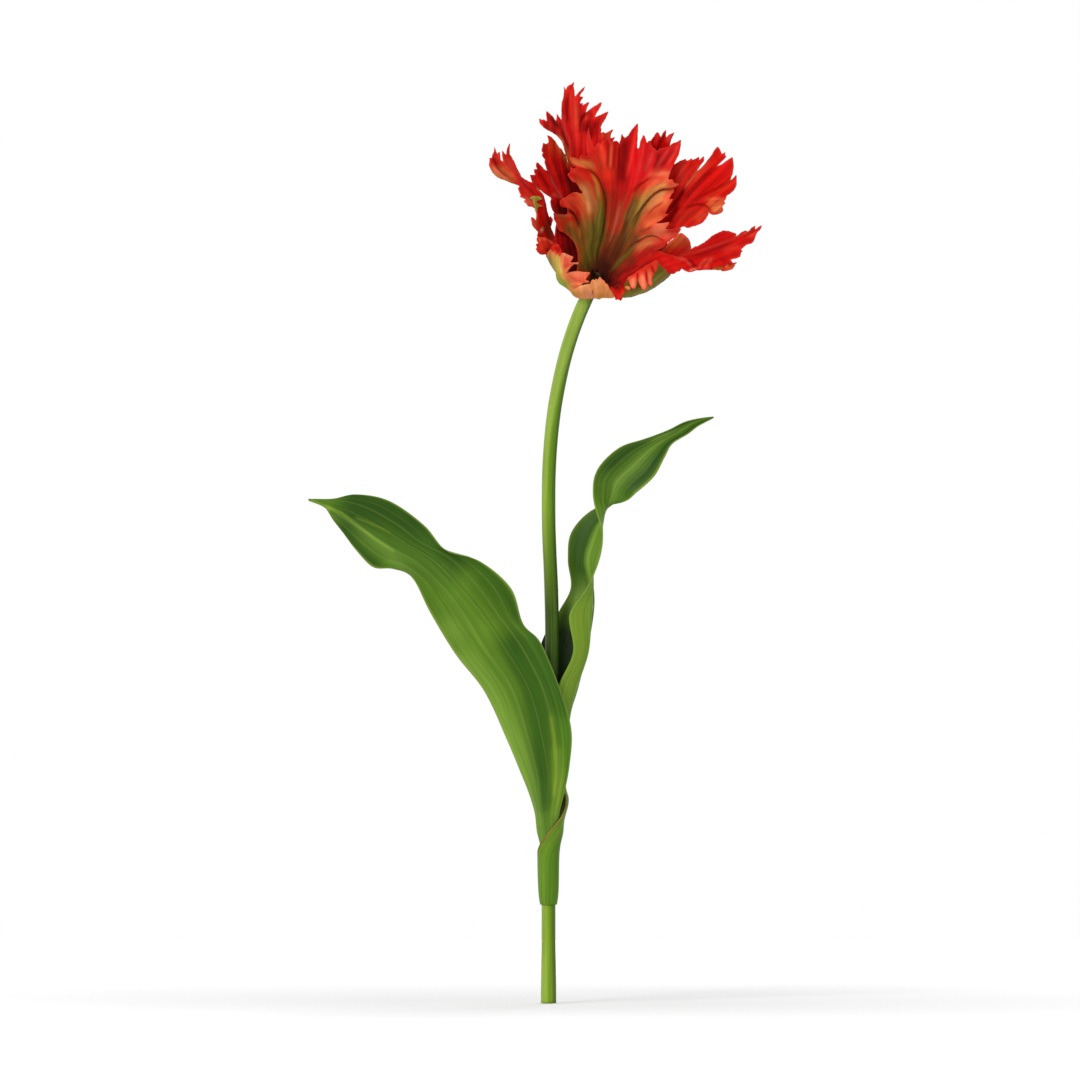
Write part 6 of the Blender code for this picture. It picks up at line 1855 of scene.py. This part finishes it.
left_contour = [
    (-26.1, 27), (-30, 22.5), (-28.9, 19.9), (-27.2, 16.5), (-25.1, 13.1), (-23.4, 10.6),
    (-23.3, 8.3), (-22.4, 5.5), (-20.5, 3.1), (-16.6, 0.5), (-13.6, -2), (-11.9, -4.4),
    (-9.3, -6.1), (-3.3, -6.8), (1.6, -6.3),
]
left_marks = [
    (-30, 22, -14), (-25, 13, -16), (-22, 5, -17), (-15, 0, -18), (-9, -6, -20), (1, -6, -20),
    (-18, 8, -24), (-14, 14, -27), (-8, 5, -26), (-3, 0, -26), (-19, 23, -28), (-12, 20, -30),
    (-8, 17, -31), (-5, 11, -31), (-1, 10, -32), (-1, 5, -30), (0, 1, -28), (-26, 27, -20),
]
front_left = bowl_sheet(
    outline=left_contour + [
        (0.5, -2.5), (-0.6, 0.8), (-3.4, 1.4), (-6.4, 2.2), (-5, 3.4), (-3.2, 3.7), (-1.2, 4.1),
        (-2.3, 4.9), (-3.6, 5.7), (-1.6, 8.7), (-0.8, 10.4), (-5, 10.8), (-9.3, 11.3),
        (-13.6, 10.8), (-16.2, 10.2), (-14.1, 13.4), (-11.5, 16), (-9.1, 16), (-8.3, 17.1),
        (-11.5, 17.1), (-13.9, 17.4), (-12.6, 19), (-11.9, 20.9), (-15.4, 22.2), (-17.9, 23.5),
        (-19.4, 23.3), (-22.2, 23.6),
    ],
    creases=[
        (1.5, -1, 3, [(-9, 16), (-12.6, 13.4), (-16.2, 10), (-19, 5), (-21, 0)]),
        (0.8, -0.8, 3, [(-19.6, 23.4), (-20.4, 17), (-20.4, 11), (-19, 6)]),
        (1, -0.7, 3, [(-5, 2.6), (-9, 3.6), (-13, 3), (-16, 1)]),
    ],
    strokes=[
        ((112, 150, 74), 5, [(-29, 22.6), (-26.4, 15), (-23.4, 9)]),
        ((196, 210, 96), 4.4, [(-23.6, 23), (-21.6, 16), (-20.4, 9)]),
        ((242, 104, 84), 9, [(-18, 21), (-13.6, 19), (-10, 16.6)]),
        ((244, 124, 98), 8.5, [(-15, 9), (-9, 7), (-2, 7)]),
        ((128, 184, 52), 8, [(-25.6, 11), (-21.8, 5), (-18, 1.6), (-14, -1.4)]),
        ((216, 158, 90), 3.6, [(-15.4, 0), (-11, -3), (-7, -4)]),
        ((232, 150, 112), 5, [(-10, 0.6), (-5, 0), (-1, 0.6)]),
        ((214, 88, 66), 3, [(-18.6, 14), (-15.6, 15.4), (-13, 16.4)]),
        ((246, 160, 124), 2, [(-18, 22.6), (-14.4, 20.8)]),
        ((240, 108, 78), 2, [(-3, 10), (-1.4, 8.6), (-2.6, 6)]),
        ((246, 150, 120), 2.4, [(-14, 8.6), (-9, 9.4), (-4, 9)], 0.7),
        # Painted shade along the upper fold.
        ((90, 12, 4), 1.3, [(-9.4, 15.6), (-12.7, 13), (-15.8, 10.2)]),
        ((196, 84, 54), 1.6, [(-15.6, 9), (-10, 5.6), (-4, 4.6)], 0.6),
        # Painted highlight on the lime band.
        ((232, 226, 150), 1.2, [(-21.4, 22), (-20.6, 15), (-20, 10)], 0.7),
    ],
    midrib=[(-3, -6), (-12, 2), (-16, 10), (-14, 20)],
    contour=left_contour, depths=left_marks, claw=FRONT_LEFT_CLAW, base=(226, 140, 94), pleat=0.2,
    ruffle=0.4, seed=11.0, edge=(244, 170, 130), grid=0.8,
)
red_lobe = petal_sheet(
    outline=[
        (-27, 27), (-25.8, 28.3), (-24, 29.2), (-22.3, 29.6), (-21.2, 28.6), (-20.4, 26.6),
        (-19.5, 24.4), (-18.6, 22.2), (-20.3, 23), (-21.1, 21.6), (-22.2, 23.3), (-23.6, 22.6),
        (-24.2, 24.6), (-25.8, 24.8),
    ],
    depths=[
        (-27, 27, -20.6), (-24, 29.2, -23.4), (-21, 28.4, -26.4), (-25.4, 24.8, -20.9),
        (-22.2, 23.2, -24.8), (-19.4, 22.4, -27.9), (-23, 26.4, -23.6),
    ],
    strokes=[
        ((222, 84, 58), 1.8, [(-25.4, 25), (-22.6, 23), (-19, 22.6)]),
        ((208, 44, 32), 2.4, [(-25.4, 28.4), (-22.6, 29.2), (-20.4, 27)]),
        ((150, 4, 0), 1.3, [(-23.6, 28.2), (-22.6, 26), (-21.4, 23.6)]),
        ((150, 4, 0), 1, [(-21.4, 28), (-20.6, 25.4)]),
    ],
    creases=[], base=(190, 30, 20), midrib=[(-22, 20), (-22, 29)], pleat=0.1, ruffle=0.2,
    seed=11.5, grid=0.7,
)
peach_lobe = petal_sheet(
    outline=[
        (-13.4, -2), (-11.6, -0.8), (-9.4, 0.4), (-7.6, 1.3), (-6.3, 1.8), (-4.2, 2.3), (-2, 2.7),
        (-0.3, 2.7), (0.2, 1.2), (0.6, -1), (1, -3.6), (1.6, -6.2), (-3.3, -6.7), (-9.2, -6),
        (-11.8, -4.3),
    ],
    depths=[
        (-9, 0, -27.2), (-4, 2, -29.4), (0, 2, -30), (0.6, -2, -28), (-6, -2.6, -26.4),
        (-12.6, -2, -22.4), (-10.4, -3.4, -22.6), (-9, -5.8, -17.6), (1.4, -6, -19.4),
        (-3, -6.4, -17.8),
    ],
    creases=[(0.5, -0.5, 3, [(-6.3, 1.4), (-5, -2), (-2, -6)])],
    strokes=[
        ((208, 158, 84), 4, [(-12, -2), (-10, -3), (-8, -5)]),
        ((218, 158, 136), 4, [(-0.6, -2), (-0.4, -4), (-1.6, -6)]),
        ((242, 196, 150), 1.2, [(-8.6, 0.4), (-4.2, 1.9), (-0.4, 2.3)]),
        ((150, 160, 70), 1.6, [(-13, -2.2), (-11, -4)]),
    ],
    base=(222, 166, 112), midrib=[(-4, -6), (-4, 4)], pleat=0.1, ruffle=0.2, seed=11.7, grid=0.7,
)
finish_petal("front_left_petal", [*front_left, red_lobe, peach_lobe], "petal_front_left",
             welded=True)

centre_contour = [
    (0.5, -2.5), (1.6, -6.3), (3.5, -6.5), (5.5, -7.1), (7, -6.3), (9.5, -6.1), (12.1, -6.3),
    (15.3, -6.1),
]
centre_marks = [
    (1.6, -6, -22), (8, -6, -23), (15, -6, -24), (0, 2, -33), (5, 1, -34), (12, 0, -35),
    (5.7, 7, -38), (2, 5, -37),
]
front_centre = bowl_sheet(
    outline=centre_contour + [
        (14.7, -4.2), (13.4, -1.2), (12.1, 0.1), (11, 2.2), (9.3, 3.3), (8.7, 4.6), (7, 6.1),
        (5.7, 7.5), (4.4, 5.5), (3.3, 6.1), (2.2, 5), (1.2, 5.7), (-0.1, 4.4), (-0.5, 2.7),
        (0.1, 1.8),
    ],
    creases=[
        (0.7, -0.7, 3, [(8.7, 4.4), (9, 0), (9.4, -5)]),
        (0.6, -0.6, 3, [(2.2, 4.8), (3, 1), (4, -4)]),
    ],
    strokes=[
        ((200, 145, 50), 4, [(3, -6), (8, -5), (13, -5.5)]),
        ((236, 184, 130), 2.5, [(3, 2), (6, 5)]),
        ((238, 150, 100), 1.2, [(-0.4, 3), (2.2, 5), (5.7, 7), (8.8, 4.2), (12, 0.4)]),
        ((214, 150, 80), 1, [(8, 3), (9, -2), (9, -6)]),
    ],
    contour=centre_contour, depths=centre_marks, claw=FRONT_CENTRE_CLAW, base=(230, 170, 110),
    midrib=[(6, -10), (6, 0), (6, 8)], roll=5.0, width=4.0, pleat=0.15, ruffle=0.3, seed=12.0,
    edge=(246, 190, 150), grid=0.7,
)
scarlet_lobe = petal_sheet(
    outline=[
        (11.9, -0.1), (14.1, 1), (14.3, 0.1), (16.4, 2.2), (18.6, 3.3), (21.6, 1), (22.4, -0.3),
        (22.9, -2.5), (21.4, -4.2), (19.9, -5), (20.9, -6.8), (19.6, -8.5), (18.1, -7.6),
        (16.2, -7.8), (15.6, -5.9), (14.3, -3.3), (13, -1.2),
    ],
    depths=[
        (12, 0, -34.6), (18, 3, -34), (22, -1, -34.5), (16, -5, -36.6), (20, -7, -37),
        (17, -1, -36.4),
    ],
    strokes=[
        ((90, 30, 5), 1.2, [(14.3, 0.4), (16.4, 2), (18.6, 3), (21.4, 0.9)]),
        ((100, 5, 0), 3, [(15, 0), (19, 0.6)]),
        ((222, 60, 36), 1.4, [(21.6, -1), (20.6, -4.6), (17.2, -7)]),
        ((214, 30, 20), 2, [(17, -4), (19, -6)]),
    ],
    creases=[], base=(190, 20, 8), midrib=[(17, 4), (18, -9)], pleat=0.15, ruffle=0.3, seed=12.5,
    grid=0.7,
)
finish_petal("front_centre_petal", [*front_centre, scarlet_lobe], "petal_front_centre",
             welded=True)

right_contour = [
    (21.3, -5), (21.9, -5.9), (24.5, -5.9), (27.5, -5.4), (31.8, -3.9), (36.1, -2.6), (39.5, -0.9),
    (43, 1.2), (46.4, 3.6), (49.4, 5.9), (53.1, 9.4),
]
right_marks = [
    (22, -5, -19), (31, -3, -19), (39, 0, -17), (47, 5, -14), (53, 9, -12), (24, 3, -27),
    (33, 5, -27), (40, 8, -25), (47, 12, -19), (25, 8, -30), (34, 10, -31), (40, 16, -28),
    (44, 18, -24),
]
front_right = bowl_sheet(
    outline=right_contour + [
        (50.7, 11.5), (49, 13.7), (46.8, 14.5), (44, 18.4), (42.5, 18.2), (41.2, 17.3),
        (39.1, 14.8), (36.1, 13), (33.5, 11.4), (30.1, 10), (28.8, 9), (24.9, 7.5), (22.6, 3),
        (21.4, -1),
    ],
    creases=[(0.8, -0.8, 4, [(44, 18), (42, 12), (36, 5), (29, -1)])],
    strokes=[
        ((95, 85, 15), 4, [(24, 0), (32, 2), (40, 6)]),
        ((130, 140, 60), 3, [(25, -5), (33, -2.6), (41, 1)]),
        ((150, 115, 60), 1.8, [(44, 18), (46, 15.6), (49, 13), (52, 10)]),
        ((110, 60, 20), 3, [(25, 6), (32, 8), (38, 12)]),
        ((140, 146, 70), 1.2, [(34, 1), (42, 6), (48, 11)]),
    ],
    contour=right_contour, depths=right_marks, claw=FRONT_RIGHT_CLAW, base=(115, 120, 30),
    midrib=[(22, -8), (34, 4), (44, 16)], pleat=0.2, ruffle=0.3, seed=13.0, edge=(176, 140, 80),
    grid=0.8,
)
coral_fringe = petal_sheet(
    outline=[
        (24.2, 6.6), (26, 8), (28.4, 9.4), (30.1, 10.8), (32, 12.2), (34, 13.2), (36.1, 15),
        (38.6, 16.2), (41.2, 17.6), (43, 19), (44.4, 18.2), (44.4, 15.4), (43.8, 11.8),
        (42.7, 10.9), (41.2, 12), (41.9, 9.2), (40.8, 7), (40.4, 4.6), (41, 2.8), (39.9, 1.2),
        (38.2, 3), (36.9, 5), (37.6, 2), (36.9, -0.2), (35.4, -1.4), (33.7, -0.2), (32.4, 2.2),
        (31.6, 4.6), (30.6, 6), (30.4, 3), (29.6, 0.4), (28.2, -0.4), (26.6, 0.8), (25.8, 2.6),
        (25.2, 4.4),
    ],
    depths=[
        (25, 7, -30.4), (34, 12, -31.6), (42, 18, -26.4), (28, 0, -34), (35.4, -1, -35),
        (40, 2, -33), (44, 12, -26.6), (33, 6, -33.4),
    ],
    creases=[
        (1, -0.6, 3, [(30.6, 5.6), (31, 8), (30.6, 10.6)]),
        (0.9, -0.7, 3, [(37, 4.6), (36.8, 8), (35.6, 13)]),
        (0.8, -0.6, 3, [(41.2, 11.6), (40.6, 14), (40, 16.4)]),
    ],
    strokes=[
        ((240, 146, 112), 4, [(28.2, 0), (28, 4), (28.4, 7)]),
        ((242, 150, 116), 4, [(35, -1), (34.4, 4), (33.6, 9)]),
        ((240, 138, 104), 3, [(39.6, 2), (39.4, 6), (38.6, 11)]),
        ((208, 44, 32), 3.6, [(26, 7.4), (30, 9.8), (35, 12.8), (41, 16.4)], 0.8),
        # Painted shade in the folds between the fringe's fingers: these three strokes.
        ((176, 14, 8), 1.6, [(31, 5.6), (31, 10)]), ((176, 14, 8), 1.6, [(37, 4.6), (36.6, 12)]),
        ((196, 24, 12), 1.6, [(41, 11), (40, 15)]),
    ],
    base=(226, 66, 48), midrib=[(32, 12), (33, 0)], pleat=0.15, ruffle=0.35, seed=13.5, grid=0.7,
)
coral_scrap = petal_sheet(
    outline=[(22.4, 0.6), (24.5, 1.6), (26.2, 0.6), (26, -0.5), (24.9, -1.3), (23.2, -0.1)],
    depths=[(22.4, 0.6, -30), (26, 0, -31), (25, -1, -31.4), (24.4, 1.4, -30)],
    strokes=[((246, 176, 140), 0.8, [(23.4, 0.3), (25, 0.4)])],
    creases=[], base=(236, 140, 100), midrib=[(24, 3), (24.6, -2)], pleat=0.05, ruffle=0.1,
    seed=13.7, grid=0.6,
)
finish_petal("front_right_petal", [*front_right, coral_fringe, coral_scrap], "petal_front_right",
             welded=True)

# ---------------------------------------------------------------------------
# Brings the scene up to date with every piece in place.

bpy.context.view_layer.update()
